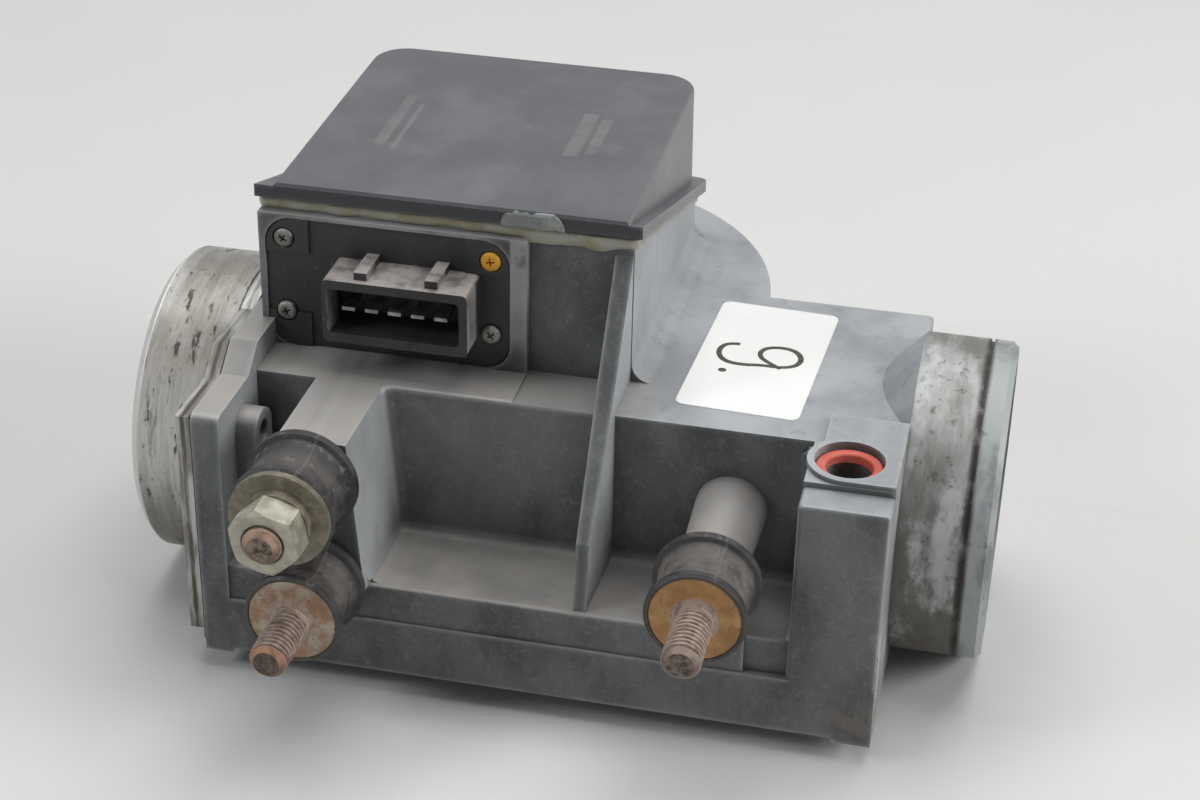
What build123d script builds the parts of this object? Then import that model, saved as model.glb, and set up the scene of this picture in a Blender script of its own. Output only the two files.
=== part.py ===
"""Vane air flow meter: a cast housing with a hinged sensing flap in the air duct, a round inlet ring,
an electronics box with its plug socket, and three rubber mounting buffers. Millimetres.

Frame: the X axis is the duct's axis and points the way the air flows. The origin is the centre of the
inlet mouth. Z is up and parallel to the flap's shaft. The plug and the buffers face -Y.
"""

import math
import os

from build123d import *

# ---- Driving dimensions --------------------------------------------------------------------------

# Duct
duct_outside = 69.0
duct_bore = 60.0
ring_tube_length = 19.2
ring_plate_thickness = 3.3
ring_plate_inset = 1.4
ring_chamfer = 1.6
gasket_thickness = 0.5
housing_length = 143.2
spigot_length = 19.6
spigot_bead_length = 5.2
spigot_root_length = 12.0
spigot_chamfer = 1.2
spigot_groove_width = 0.8
spigot_groove_depth = 0.6
flange_ring_shrink = 0.6

# Housing heights and depths, from the duct's axis
deck_height = 26.7
ledge_height = -8.0
band_bottom = -29.0
foot_drop = 1.0
front_face = -54.0
pocket_face = -30.6
wall_thickness = 3.6
parting_height = -16.3
parting_step = 0.6
body_radius = 38.3
body_length = 48.2
outlet_cone_height = 7.8
deck_step = 0.4
bearing_foot_clearance = 1.2
rear_foot_radius = 4.5
rear_foot_inset = 6.0
rear_foot_angle = 60.0
chamber_top_fillet = 2.5
end_edge_fillet = 1.0

# Inlet flange
flange_thickness = 6.0
flange_back = 48.0
flange_rise = 5.0
flange_crest_left = -29.0
flange_crest_right = 30.0
flange_crest_slope = 6.5
flange_corner_fillet = 2.0
ring_foot_setback = 3.0
flange_screw_y = 40.0
flange_screw_z = 18.0
flange_screw_radius = 2.5
flange_boss_radius = 4.9
flange_boss_length = 4.5
flange_screw_head_radius = 4.3
flange_screw_head = 4.6
flange_screw_socket_radius = 2.3
flange_screw_socket_depth = 2.6
flange_screw_end_gap = 1.5
small_fillet = 0.6
small_chamfer = 0.4

# Air channel, flap and damping chamber
channel_half_width = 27.0
channel_top = 22.7
channel_bottom = -24.0
channel_corner = 6.0
channel_start = 38.0
outlet_loft_length = 12.0
outlet_bore_length = 17.8
shaft_x = 73.0
shaft_y = 30.5
shaft_radius = 3.0
chamber_radius = 52.2
chamber_left = 66.0
hub_radius = 7.0
hub_pocket_gap = 1.5
flap_rest_angle = -95.0
damper_offset = 100.0
flap_thickness = 2.4
flap_edge_gap = 0.8

# Front structure
rib_setback = 3.6
rib_edge_thickness = 2.6
rib_root_thickness = 3.8
rib_knee_height = 7.0
rib_knee_inset = 4.0
rib_front_inset = 2.0
rib_top_drop = 2.0
rib_draft = 0.4
arm_x = 42.2
arm_width = 14.6
arm_draft = 3.0
post_width = 18.2
post_strip = 7.5
post_strip_drop = 1.2
pad_height = 1.0
step_width = 9.0
step_depth = 1.8
pocket_fillet = 2.5
ledge_fillet = 1.2
edge_fillet = 1.2
box_foot_fillet = 4.5
end_foot_length = 8.0
end_foot_depth = 40.0
arm_corner_length = 9.0
bore_boss_radius = 6.8
bore_boss_taper = 0.8
seat_boss_step = 2.0
post_fillet = 0.8

# Electronics box and its cover
box_left = 26.2
box_right = 106.8
box_front = -15.6
box_back = 61.2
box_wall = 2.6
box_back_corner = 5.0
plug_pad_right = 84.6
plug_pad_proud = 2.2
plug_pad_height = 30.8
plug_recess_depth = 2.5
rim_front_rise = 33.9
rim_slope = 16.7
sealant_thickness = 2.2
rim_overhang = 1.4
rim_back_overhang = 3.4
rim_left_overhang = 0.7
rim_right_overhang = 1.8
rim_thickness = 2.8
cover_front_rise = 0.6
cover_back_rise = 1.5
cover_left_inset = 4.2
cover_right_inset = 2.8
cover_back_inset = 3.0
cover_back_draft = 2.4
cover_corner = 8.0
cover_top_fillet = 0.9
cover_wall = 2.2
raised_floor_rise = 9.3
raised_floor_fall = 6.0
raised_floor_end = 44.0

# Plug socket
plate_left = 27.8
plate_width = 52.9
plate_height = 29.6
plate_rise = 0.2
plate_thickness = 1.3
plate_step = 0.6
plate_step_width = 9.4
plate_corner = 6.0
plug_gasket_thickness = 0.5
plug_screw_inset = 3.9
plug_screw_drop = 4.5
plug_screw_spacing_z = 17.2
plug_screw_radius = 1.6
plug_screw_head_radius = 2.2
plug_screw_head = 1.5
plug_screw_length = 6.4
plug_screw_sink = 0.4
plug_screw_boss_wall = 1.8
plug_screw_boss_depth = 2.4
screw_hole_spare = 1.4
window_width = 30.0
window_height = 8.0
window_corner = 1.5
window_rise = 1.5
plate_notch_height = 8.6
shroud_left = 43.2
shroud_width = 31.3
shroud_rise = 7.5
shroud_height = 14.3
shroud_depth = 11.0
shroud_corner = 1.2
socket_corner = 1.0
key_width = 2.8
key_height = 1.7
key_setback = 1.5
key_places = (51.3, 66.5)
socket_left_wall = 1.0
socket_right_wall = 1.8
socket_top_wall = 2.0
socket_bottom_wall = 2.2
pin_pitch = 5.0
pin_count = 5
pin_width = 2.8
pin_thickness = 0.8
pin_first_x = 48.0
pin_rise = 14.3
pin_tip_setback = 3.0
pin_tail = 5.0
lead_width = 1.6
lead_lap = 3.0

# Buffers
buffer_radius = 10.3
buffer_collar_radius = 10.9
buffer_collar_length = 2.4
buffer_lip_length = 1.6
buffer_waist = 9.2
buffer_squeeze = 0.6
rubber_edge = 0.5
rubber_neck = 0.9
lip_neck_rise = 0.8
collar_neck_rise = 0.4
buffer_length = 15.2
buffer_disc_thickness = 1.2
stud_radius = 4.0
disc_recess_radius = 9.3
stud_length = 15.4
nut_stud_length = 12.4
stud_root_length = 11.0
stud_hole_depth = 12.0
stud_chamfer = 0.9
buffer_seat = -57.0
upper_buffer = (48.4, 18.6)
lower_buffer = (49.6, -6.0)
right_buffer_setback = 34.5
right_buffer_height = 8.2
washer_radius = 10.4
washer_thickness = 1.5
lock_washer_radius = 7.0
lock_washer_thickness = 2.2
lock_washer_split = 1.4
nut_across_flats = 13.0
nut_height = 6.8
nut_turn = 42.0
nut_face_step = 0.1
nut_chamfer_angle = 60.0
thread_chamfer = 0.5

# Idle bypass
bypass_setback = 10.2
bypass_y = -37.7
bypass_seat_radius = 8.6
bypass_seat_length = 26.0
bypass_shelf_left = 6.0
bypass_shelf_front = 3.0
bypass_shelf_length = 14.4
bypass_counterbore_radius = 7.15
bypass_counterbore_depth = 3.5
bypass_bore_radius = 5.5
bypass_thread_radius = 4.0
bypass_duct_radius = 4.0
bypass_duct_z = -18.0
bypass_breakthrough = 6.0
bypass_screw_drop = 7.7
bypass_head_length = 6.5
bypass_cone_angle = 30.0
bypass_slot_width = 1.2
bypass_slot_depth = 1.6
seal_radius = 0.7
seal_depth = 3.0
bypass_ring_radius = 6.9
bypass_ring_hole = 4.8
bypass_ring_thickness = 2.0

# Clearances
running_fit = 0.05
press_clearance = 0.01
screw_clearance = 0.25
seat_gap = 0.25

# Adjustment and measuring parts in the electronics box
tension_wheel_radius = 25.0
tension_wheel_thickness = 3.0
tension_wheel_teeth = 60
wheel_slot_length = 10.0
wheel_slot_width = 5.4
wheel_slots = 5
tooth_depth = 1.6
tooth_width = 1.9
tooth_slope = 70.0
tooth_root = 0.4
wheel_slot_start = 36.0
spring_turns = 4
spring_inner_radius = 6.0
spring_outer_radius = 19.0
spring_strip = 0.45
spring_height = 3.6
spring_lift = 0.4
spring_post_radius = 1.2
board_inner_radius = 27.0
board_outer_radius = 41.0
board_thickness = 1.6
board_start_angle = -158.0
board_end_angle = -58.0
board_rise = 11.9
board_screw_angles = (-150.0, -88.0, -64.0)
board_screw_circle = 38.0
wiper_rest_angle = -150.0
wiper_reach = 33.5

# Label
label_width = 26.2
label_length = 48.5
label_thickness = 0.15
label_setback = 34.7
label_y = 1.3
label_turn = -2.7
label_corner = 2.0

# ---- Places worked out from them -----------------------------------------------------------------

duct_radius = duct_outside / 2
bore_radius = duct_bore / 2
flange_x = ring_tube_length + ring_plate_thickness + gasket_thickness
end_x = flange_x + housing_length
mouth_x = end_x + spigot_length
body_start = end_x - body_length
outlet_bore_start = mouth_x - outlet_bore_length
channel_end = outlet_bore_start - outlet_loft_length
rib_x = box_right - rib_setback
post_x = end_x - post_width
bypass_x = end_x - bypass_setback
floor_height = -duct_radius
plug_pad_top = deck_height + plug_pad_height
plate_bottom = deck_height + plate_rise
shroud_bottom = plate_bottom + shroud_rise
pin_z = deck_height + pin_rise
board_height = deck_height + board_rise
rim_front_height = deck_height + rim_front_rise
cover_room = rim_front_height + 10.0
raised_floor = deck_height + raised_floor_rise
bypass_screw_top = deck_height - bypass_screw_drop
buffer_places = {
    "upper_left": upper_buffer,
    "lower_left": lower_buffer,
    "right": (end_x - right_buffer_setback, right_buffer_height),
}
shaft_place = (shaft_x, shaft_y)
rim_slope_rise = math.tan(math.radians(rim_slope))
rim_front = box_front - rim_overhang
rim_back = box_back + rim_back_overhang
rim_left = box_left - rim_left_overhang
rim_right = box_right + rim_right_overhang


def rim_height(y):
    """Height of the cover rim's underside at depth y: the rim slopes down towards the back."""
    return rim_front_height - (y - rim_front) * rim_slope_rise


def wall_top(y):
    """Height of the electronics box's walls at depth y, one sealant bead below the rim."""
    return rim_height(y) - sealant_thickness


def polar(radius, angle, centre=shaft_place):
    """A point at a radius and an angle in degrees about the flap's shaft."""
    turn = math.radians(angle)
    return (centre[0] + radius * math.cos(turn), centre[1] + radius * math.sin(turn))


def at(x=None, y=None, z=None, within=0.4):
    """A test for edges whose middle lies at the given coordinates."""

    def is_there(edge):
        middle = edge.center()
        pairs = ((x, middle.X), (y, middle.Y), (z, middle.Z))
        return all(wanted is None or abs(wanted - found) < within for wanted, found in pairs)

    return is_there


def write(piece, name):
    """Label a finished piece and write it as its own STEP file."""
    piece.part.label = name
    export_step(piece.part, f"parts/{name}.step")


def flange_outline(inset):
    """Corners (y, z) of the inlet flange, drawn in by an inset."""
    top = deck_height + pad_height - inset
    return [
        (front_face + inset, band_bottom - foot_drop + ring_foot_setback * inset),
        (flange_back - inset, band_bottom - foot_drop + ring_foot_setback * inset),
        (flange_back - inset, top),
        (flange_crest_right, top + flange_rise),
        (flange_crest_left, top + flange_rise),
        (flange_crest_left - flange_crest_slope, top),
        (front_face + inset, top),
    ]


def flange_screw_places():
    """Centres (y, z) of the four screws that hold the inlet ring."""
    return [(y, z) for y in (-flange_screw_y, flange_screw_y) for z in (-flange_screw_z, flange_screw_z)]


os.makedirs("parts", exist_ok=True)

# ---- Housing: one aluminium casting --------------------------------------------------------------

deck_depth = box_front - plug_pad_proud
channel_mid = (channel_top + channel_bottom) / 2
channel_tall = channel_top - channel_bottom
lower_bearing_length = 5.0
upper_bearing_length = 5.0
bearing_radius = 7.5
bearing_boss_radius = 11.0
bearing_cap_thickness = 1.2
upper_boss_height = deck_height + 4.3
board_post_radius = 3.4
board_post_places = [polar(board_screw_circle, angle) for angle in board_screw_angles]
board_screw_radius = 1.5
board_screw_head_radius = 2.5
board_screw_head = 1.4
board_screw_grip = 6.0
plug_screw_places = [
    (x, z)
    for x in (plate_left + plug_screw_inset, plate_left + plate_width - plug_screw_inset)
    for z in (
        plate_bottom + plate_height - plug_screw_drop - plug_screw_spacing_z,
        plate_bottom + plate_height - plug_screw_drop,
    )
]
sensor_place = (56.0, -2.0)
sensor_stem_radius = 4.0
sensor_collar_width = 1.8
sensor_collar_thickness = 2.4
sensor_bulb_radius = 1.6
sensor_bulb_length = 9.0
chamber_outside = chamber_radius + wall_thickness
window_centre = (pin_first_x + pin_pitch * (pin_count - 1) / 2, pin_z + window_rise)
stop_place_y = shaft_y + 40.0
stop_radius = 4.0
stop_stem_step = 1.0
stop_rounding = 1.2
stop_gap = 0.5

# Rib between the two front pockets: thicker at its root, slanting from the box down to the band
with BuildPart() as front_rib:
    with BuildSketch(Plane.YZ.offset(rib_x - rib_root_thickness)):
        with BuildLine():
            Polyline(
                (box_front + 1.0, wall_top(box_front) - rib_top_drop),
                (box_front, wall_top(box_front) - rib_top_drop),
                (front_face + rib_knee_inset, rib_knee_height),
                (front_face + rib_front_inset, ledge_height),
                (front_face + rib_front_inset, band_bottom),
                (box_front + 1.0, band_bottom),
                close=True,
            )
        make_face()
    extrude(amount=3 * rib_root_thickness)
    with BuildSketch(Plane.XY.offset(band_bottom)):
        with BuildLine():
            Polyline(
                (rib_x, front_face),
                (rib_x + rib_edge_thickness, front_face),
                (rib_x + rib_root_thickness - rib_draft, pocket_face),
                (rib_x + rib_root_thickness - rib_draft, box_front + box_wall),
                (rib_x - rib_draft, box_front + box_wall),
                (rib_x - rib_draft, pocket_face),
                close=True,
            )
        make_face()
    extrude(amount=rim_front_height - band_bottom, mode=Mode.INTERSECT)

with BuildPart() as housing:
    # Channel body between the inlet flange and the outlet, as seen from the side
    with BuildSketch(Plane.YZ.offset(flange_x)):
        with BuildLine():
            Polyline(
                (pocket_face, band_bottom),
                (channel_half_width + wall_thickness, band_bottom),
                (channel_half_width + wall_thickness, deck_height),
                (pocket_face, deck_height),
                close=True,
            )
        make_face()
    extrude(amount=housing_length)
    # Round outlet body, flat on top and underneath
    with BuildSketch(Plane.YZ.offset(body_start)):
        Circle(body_radius)
        with Locations((pocket_face, floor_height)):
            Rectangle(
                body_radius - pocket_face,
                deck_height - floor_height,
                align=(Align.MIN, Align.MIN),
                mode=Mode.INTERSECT,
            )
    extrude(amount=body_length)
    # Damping chamber: a quarter drum about the flap's shaft
    with BuildSketch(Plane.XY.offset(band_bottom)):
        with Locations(shaft_place):
            Circle(chamber_outside)
        with Locations((chamber_left - wall_thickness, channel_half_width - wall_thickness)):
            Rectangle(
                2 * chamber_outside, 2 * chamber_outside, align=(Align.MIN, Align.MIN), mode=Mode.INTERSECT
            )
    extrude(amount=deck_height - band_bottom)
    fillet(
        housing.edges()
        .filter_by(GeomType.CIRCLE)
        .filter_by(lambda e: abs(e.radius - chamber_outside) < 0.01 and e.center().Z > deck_height - 1),
        chamber_top_fillet,
    )
    # Inlet flange, with its raised back part and its foot
    with BuildSketch(Plane.YZ.offset(flange_x)):
        with BuildLine():
            Polyline(*flange_outline(0), close=True)
        make_face()
        Circle(duct_radius - flange_ring_shrink)
    extrude(amount=flange_thickness)
    # Lower front band with its rounded ledge, and the foot at its outlet end
    with BuildSketch(Plane.YZ.offset(flange_x)):
        with BuildLine():
            Polyline(
                (front_face, band_bottom),
                (pocket_face + 1.0, band_bottom),
                (pocket_face + 1.0, ledge_height),
                (front_face + parting_step, ledge_height),
                (front_face + parting_step, parting_height),
                (front_face, parting_height),
                close=True,
            )
        make_face()
    extrude(amount=housing_length)
    with BuildSketch(Plane.XY.offset(band_bottom - foot_drop)):
        with Locations((end_x - end_foot_length, front_face)):
            Rectangle(end_foot_length, end_foot_depth, align=(Align.MIN, Align.MIN))
    extrude(amount=foot_drop)
    # Arm that carries the two left buffers: a full-height wall that widens downwards
    with BuildSketch(Plane.XZ.offset(-deck_depth)) as arm_section:
        with BuildLine():
            Polyline(
                (arm_x - arm_draft, ledge_height),
                (arm_x + arm_width + arm_draft, ledge_height),
                (arm_x + arm_width, deck_height),
                (arm_x, deck_height),
                close=True,
            )
        make_face()
    extrude(amount=deck_depth - front_face - parting_step)
    # Filled corner between the arm and the box
    with BuildSketch(Plane.XY.offset(ledge_height)):
        with BuildLine():
            Polyline(
                (flange_x + flange_thickness + 2.0, deck_depth),
                (arm_x + 1.0, deck_depth),
                (arm_x + 1.0, deck_depth - arm_corner_length),
                (arm_x - 1.0, deck_depth - arm_corner_length),
                close=True,
            )
        make_face()
    extrude(amount=deck_height - ledge_height)
    # Post at the outlet end, which holds the bypass screw
    with BuildSketch(Plane.XY.offset(band_bottom)) as post:
        with Locations((post_x, front_face)):
            Rectangle(post_width, pocket_face - front_face + 1, align=(Align.MIN, Align.MIN))
        fillet(post.vertices().group_by(Axis.Y)[0], edge_fillet)
    extrude(amount=deck_height - post_strip_drop - band_bottom)
    # Electronics box: a block whose top slopes
    with BuildSketch(Plane.YZ.offset(box_left)):
        with BuildLine():
            Polyline(
                (box_front, channel_top),
                (box_back, channel_top),
                (box_back, wall_top(box_back)),
                (box_front, wall_top(box_front)),
                close=True,
            )
        make_face()
    extrude(amount=box_right - box_left)
    fillet(
        housing.edges()
        .filter_by(Axis.Z)
        .filter_by(lambda e: abs(e.center().Y - box_back) < 0.1 and e.center().Z > channel_top),
        box_back_corner,
    )
    add(front_rib.part)
    # Rounded corners of the pockets, and the rounded foot of the box's right wall
    pocket_edges = housing.edges()
    fillet(
        pocket_edges.filter_by(Axis.X)
        .filter_by(at(y=pocket_face, z=ledge_height))
        .filter_by(lambda e: e.length > arm_width)
        + pocket_edges.filter_by(at(x=arm_x + arm_width + arm_draft / 2, y=pocket_face, within=1.0))
        .filter_by(lambda e: e.length > arm_width)
        + pocket_edges.filter_by(Axis.Z)
        .filter_by(at(x=post_x, y=pocket_face))
        + pocket_edges.filter_by(Axis.Y)
        .filter_by(at(x=arm_x + arm_width + arm_draft, z=ledge_height))
        + pocket_edges.filter_by(Axis.Y)
        .filter_by(at(x=post_x, z=ledge_height)),
        pocket_fillet,
    )
    fillet(
        housing.edges().filter_by(Axis.Y).filter_by(at(x=box_right, z=deck_height, within=0.1)),
        box_foot_fillet,
    )
    # Rounded front edge of the ledge, on both sides of the arm
    band_face = front_face + parting_step
    for start, end in (
        (flange_x + flange_thickness, arm_x - arm_draft),
        (arm_x + arm_width + arm_draft, post_x),
    ):
        with BuildSketch(Plane.YZ.offset(start)):
            with Locations((band_face - 1.0, ledge_height - ledge_fillet)):
                Rectangle(ledge_fillet + 1.0, ledge_fillet + 1.0, align=(Align.MIN, Align.MIN))
            with Locations((band_face + ledge_fillet, ledge_height - ledge_fillet)):
                Circle(ledge_fillet, mode=Mode.SUBTRACT)
        extrude(amount=end - start, mode=Mode.SUBTRACT)
    # Softened outer edges of the casting
    fillet(
        housing.edges().filter_by(at(z=deck_height - post_strip_drop))
        .filter_by(lambda e: e.center().X > post_x - 1 and e.center().Y < pocket_face - 1),
        post_fillet,
    )
    fillet(
        housing.edges().filter_by(Axis.X).filter_by(at(y=pocket_face, z=deck_height))
        .filter_by(lambda e: arm_x < e.center().X < rib_x),
        edge_fillet,
    )
    fillet(housing.edges().filter_by(Axis.Y).filter_by(at(x=arm_x, z=deck_height)), edge_fillet)
    fillet(
        housing.edges().filter_by(Axis.Z).filter_by(at(x=box_left, y=box_front))
        .filter_by(lambda e: e.center().Z > deck_height),
        edge_fillet,
    )
    fillet(
        housing.edges().filter_by(Axis.X).filter_by(at(y=front_face, z=deck_height + pad_height)),
        flange_corner_fillet,
    )
    fillet(housing.edges().filter_by(Axis.Y).filter_by(at(x=end_x, z=deck_height)), end_edge_fillet)
    # Nose of the arm and the round seats of the left buffers
    extrude(arm_section.sketch, amount=deck_depth - buffer_seat - 1.0)
    with BuildSketch(Plane.XZ.offset(-deck_depth)):
        with Locations(upper_buffer, lower_buffer):
            Circle(buffer_radius - seat_boss_step)
    extrude(amount=deck_depth - buffer_seat)
    # Round boss of the right buffer, tapering towards the buffer
    with BuildSketch(Plane.XZ.offset(-pocket_face)):
        with Locations(buffer_places["right"]):
            Circle(bore_boss_radius + bore_boss_taper)
    with BuildSketch(Plane.XZ.offset(-buffer_seat)):
        with Locations(buffer_places["right"]):
            Circle(bore_boss_radius)
    loft()
    # Seat of the bypass screw on the post
    with BuildSketch(Plane.XY.offset(band_bottom)):
        with Locations((post_x, front_face + post_strip)):
            Rectangle(post_width, pocket_face - front_face, align=(Align.MIN, Align.MIN))
    extrude(amount=deck_height - band_bottom)
    with BuildSketch(Plane.XY.offset(deck_height)):
        with Locations((bypass_x, bypass_y)):
            Circle(bypass_seat_radius)
        with Locations((bypass_x, bypass_y - bypass_seat_radius)):
            Rectangle(bypass_setback, bypass_seat_length, align=(Align.MIN, Align.MIN))
        with Locations((bypass_x - bypass_shelf_left, bypass_y + bypass_shelf_front)):
            Rectangle(
                bypass_setback + bypass_shelf_left, bypass_shelf_length, align=(Align.MIN, Align.MIN)
            )
    extrude(amount=pad_height)
    # Raised pad of the plug
    with BuildSketch(Plane.XZ.offset(-deck_depth)):
        with Locations((box_left, channel_top)):
            Rectangle(plug_pad_right - box_left, plug_pad_top - channel_top, align=(Align.MIN, Align.MIN))
    extrude(amount=-plug_pad_proud - 1.0)
    # Cast bosses of the flange screws, closed towards the pocket
    with BuildSketch(Plane.YZ.offset(flange_x + 1.0)):
        with Locations(*flange_screw_places()):
            Circle(flange_boss_radius)
        with Locations((-flange_screw_y, flange_screw_z)):
            Rectangle(2 * flange_boss_radius, 2 * flange_screw_z, align=(Align.CENTER, Align.MAX))
    extrude(amount=flange_thickness + flange_boss_length - 1.0)
    # Boss and feet underneath
    with BuildSketch(Plane.XY.offset(floor_height)):
        with Locations(shaft_place):
            Circle(bearing_boss_radius)
        with Locations(polar(chamber_outside - rear_foot_inset, rear_foot_angle)):
            Circle(rear_foot_radius)
    extrude(amount=band_bottom - floor_height + 1.0)
    # Outlet spigot with its bead and groove, and the cone that leads to it
    with BuildSketch(Plane.XZ):
        with BuildLine():
            Polyline(
                (end_x - spigot_root_length, 0),
                (end_x - spigot_root_length, duct_radius - spigot_root_length),
                (end_x - outlet_cone_height, duct_radius - outlet_cone_height),
                (end_x, duct_radius),
                (mouth_x - spigot_bead_length - spigot_groove_width, duct_radius),
                (mouth_x - spigot_bead_length - spigot_groove_width, duct_radius - spigot_groove_depth),
                (mouth_x - spigot_bead_length, duct_radius - spigot_groove_depth),
                (mouth_x - spigot_bead_length, duct_radius),
                (mouth_x - spigot_chamfer, duct_radius),
                (mouth_x, duct_radius - spigot_chamfer),
                (mouth_x, 0),
                close=True,
            )
        make_face()
    revolve(axis=Axis.X)

    # Air way: round at the flange, square-shouldered at the flap, round again at the outlet
    with BuildSketch(Plane.YZ.offset(flange_x - 0.001)):
        Circle(bore_radius)
    with BuildSketch(Plane.YZ.offset(channel_start)):
        with Locations((0, channel_mid)):
            RectangleRounded(2 * channel_half_width, channel_tall, channel_corner)
    loft(mode=Mode.SUBTRACT)
    with BuildSketch(Plane.YZ.offset(channel_start)):
        with Locations((0, channel_mid)):
            RectangleRounded(2 * channel_half_width, channel_tall, channel_corner)
    extrude(amount=channel_end - channel_start, mode=Mode.SUBTRACT)
    with BuildSketch(Plane.YZ.offset(channel_end)):
        with Locations((0, channel_mid)):
            RectangleRounded(2 * channel_half_width, channel_tall, channel_corner)
    with BuildSketch(Plane.YZ.offset(outlet_bore_start)):
        Circle(bore_radius)
    loft(mode=Mode.SUBTRACT)
    with BuildSketch(Plane.YZ.offset(outlet_bore_start)):
        Circle(bore_radius)
    extrude(amount=mouth_x - outlet_bore_start, mode=Mode.SUBTRACT)
    # Inside of the damping chamber, and the pocket round the flap's hub
    with BuildSketch(Plane.XY.offset(channel_bottom)):
        with Locations(shaft_place):
            Circle(chamber_radius)
        with Locations((chamber_left, channel_half_width - channel_corner - 3.0)):
            Rectangle(
                2 * chamber_radius, 2 * chamber_radius, align=(Align.MIN, Align.MIN), mode=Mode.INTERSECT
            )
        with Locations(shaft_place):
            Circle(hub_radius + hub_pocket_gap)
    extrude(amount=channel_tall, mode=Mode.SUBTRACT)
    # Flap shaft's bearing seats
    with BuildSketch(Plane.XY.offset(floor_height)):
        with Locations(shaft_place):
            Circle(bearing_radius)
    extrude(amount=lower_bearing_length + bearing_cap_thickness, mode=Mode.SUBTRACT)
    with BuildSketch(Plane.XY.offset(floor_height)):
        with Locations(shaft_place):
            Circle(shaft_radius + bearing_foot_clearance)
    extrude(amount=deck_height - floor_height + 1.0, mode=Mode.SUBTRACT)

    # Inside of the electronics box
    with BuildSketch(Plane.YZ.offset(raised_floor_end)):
        with BuildLine():
            Polyline(
                (box_front + box_wall, deck_height),
                (box_back - box_wall, deck_height),
                (box_back - box_wall, cover_room),
                (box_front + box_wall, cover_room),
                close=True,
            )
        make_face()
    extrude(amount=box_right - box_wall - raised_floor_end, mode=Mode.SUBTRACT)
    with BuildSketch(Plane.YZ.offset(box_left + box_wall)):
        with BuildLine():
            Polyline(
                (box_front + box_wall, raised_floor),
                (box_back - box_wall, raised_floor - raised_floor_fall),
                (box_back - box_wall, cover_room),
                (box_front + box_wall, cover_room),
                close=True,
            )
        make_face()
    extrude(amount=raised_floor_end + 1.0 - box_left - box_wall, mode=Mode.SUBTRACT)
    # Upper bearing boss, board posts and the flap's cast stop on the box's floor
    with BuildSketch(Plane.XY.offset(deck_height - 1.0)):
        with Locations(shaft_place):
            Circle(bearing_boss_radius)
            Circle(bearing_radius, mode=Mode.SUBTRACT)
    extrude(amount=upper_boss_height - deck_height + 1.0)
    with BuildSketch(Plane.XY.offset(upper_boss_height - upper_bearing_length)):
        with Locations(shaft_place):
            Circle(bearing_radius)
    extrude(amount=upper_bearing_length + 1.0, mode=Mode.SUBTRACT)
    with BuildSketch(Plane.XY.offset(deck_height - 1.0)):
        with Locations(*board_post_places):
            Circle(board_post_radius)
    extrude(amount=board_height - deck_height + 1.0)
    with BuildSketch(Plane.XY.offset(board_height)):
        with Locations(*board_post_places):
            Circle(board_screw_radius)
    extrude(amount=-board_screw_grip - 1.0, mode=Mode.SUBTRACT)
    # Seat of the air temperature sensor in the channel's roof
    with BuildSketch(Plane.XY.offset(channel_top - 1.0)):
        with Locations(sensor_place):
            Circle(sensor_stem_radius + running_fit)
    extrude(amount=deck_height - channel_top + 2.0, mode=Mode.SUBTRACT)
    # Recess for the plug's plate, the window behind its pins, and the plate's screw bosses
    with BuildSketch(Plane.XZ.offset(-deck_depth)):
        with Locations((plate_left + plate_width / 2, plate_bottom + plate_height / 2)):
            RectangleRounded(
                plate_width + 2 * screw_clearance, plate_height + 2 * screw_clearance, plate_corner
            )
    extrude(amount=-plug_recess_depth, mode=Mode.SUBTRACT)
    with BuildSketch(Plane.XZ.offset(-box_front - 1.0)):
        with Locations(*plug_screw_places):
            Circle(plug_screw_radius + plug_screw_boss_wall)
    extrude(amount=-box_wall - plug_screw_boss_depth)
    with BuildSketch(Plane.XZ.offset(-deck_depth)):
        with Locations(window_centre):
            RectangleRounded(window_width, window_height, window_corner)
    extrude(amount=-plug_pad_proud - box_wall - 1.0, mode=Mode.SUBTRACT)
    with BuildSketch(Plane.XZ.offset(-deck_depth)):
        with Locations(*plug_screw_places):
            Circle(plug_screw_radius)
    extrude(amount=-plug_screw_length - screw_hole_spare, mode=Mode.SUBTRACT)

    # Bypass: a passage along the band, its screw bore in the post, and the way back to the duct
    with BuildSketch(Plane.YZ.offset(flange_x)):
        with Locations((bypass_y, bypass_duct_z)):
            Circle(bypass_duct_radius)
    extrude(amount=bypass_x - flange_x, mode=Mode.SUBTRACT)
    with BuildSketch(Plane.XZ.offset(-bypass_y)):
        with Locations((bypass_x, bypass_duct_z), (channel_start + 3.0, bypass_duct_z)):
            Circle(bypass_duct_radius)
    extrude(amount=bypass_y - pocket_face - wall_thickness - bypass_breakthrough, mode=Mode.SUBTRACT)
    with BuildSketch(Plane.XY.offset(deck_height + pad_height)):
        with Locations((bypass_x, bypass_y)):
            Circle(bypass_counterbore_radius)
    extrude(amount=-bypass_counterbore_depth, mode=Mode.SUBTRACT)
    with BuildSketch(Plane.XY.offset(deck_height)):
        with Locations((bypass_x, bypass_y)):
            Circle(bypass_bore_radius)
    extrude(amount=bypass_screw_top - bypass_head_length - deck_height, mode=Mode.SUBTRACT)
    with BuildSketch(Plane.XY.offset(bypass_duct_z)):
        with Locations((bypass_x, bypass_y)):
            Circle(bypass_thread_radius + running_fit)
    extrude(amount=bypass_screw_top - bypass_duct_z, mode=Mode.SUBTRACT)

    # Recessed upper face of the band, above the parting line
    with BuildSketch(Plane.XY.offset(parting_height)):
        with Locations((post_x - step_width, front_face)):
            Rectangle(step_width, step_depth, align=(Align.MIN, Align.MIN))
    extrude(amount=ledge_height - parting_height, mode=Mode.SUBTRACT)
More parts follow.
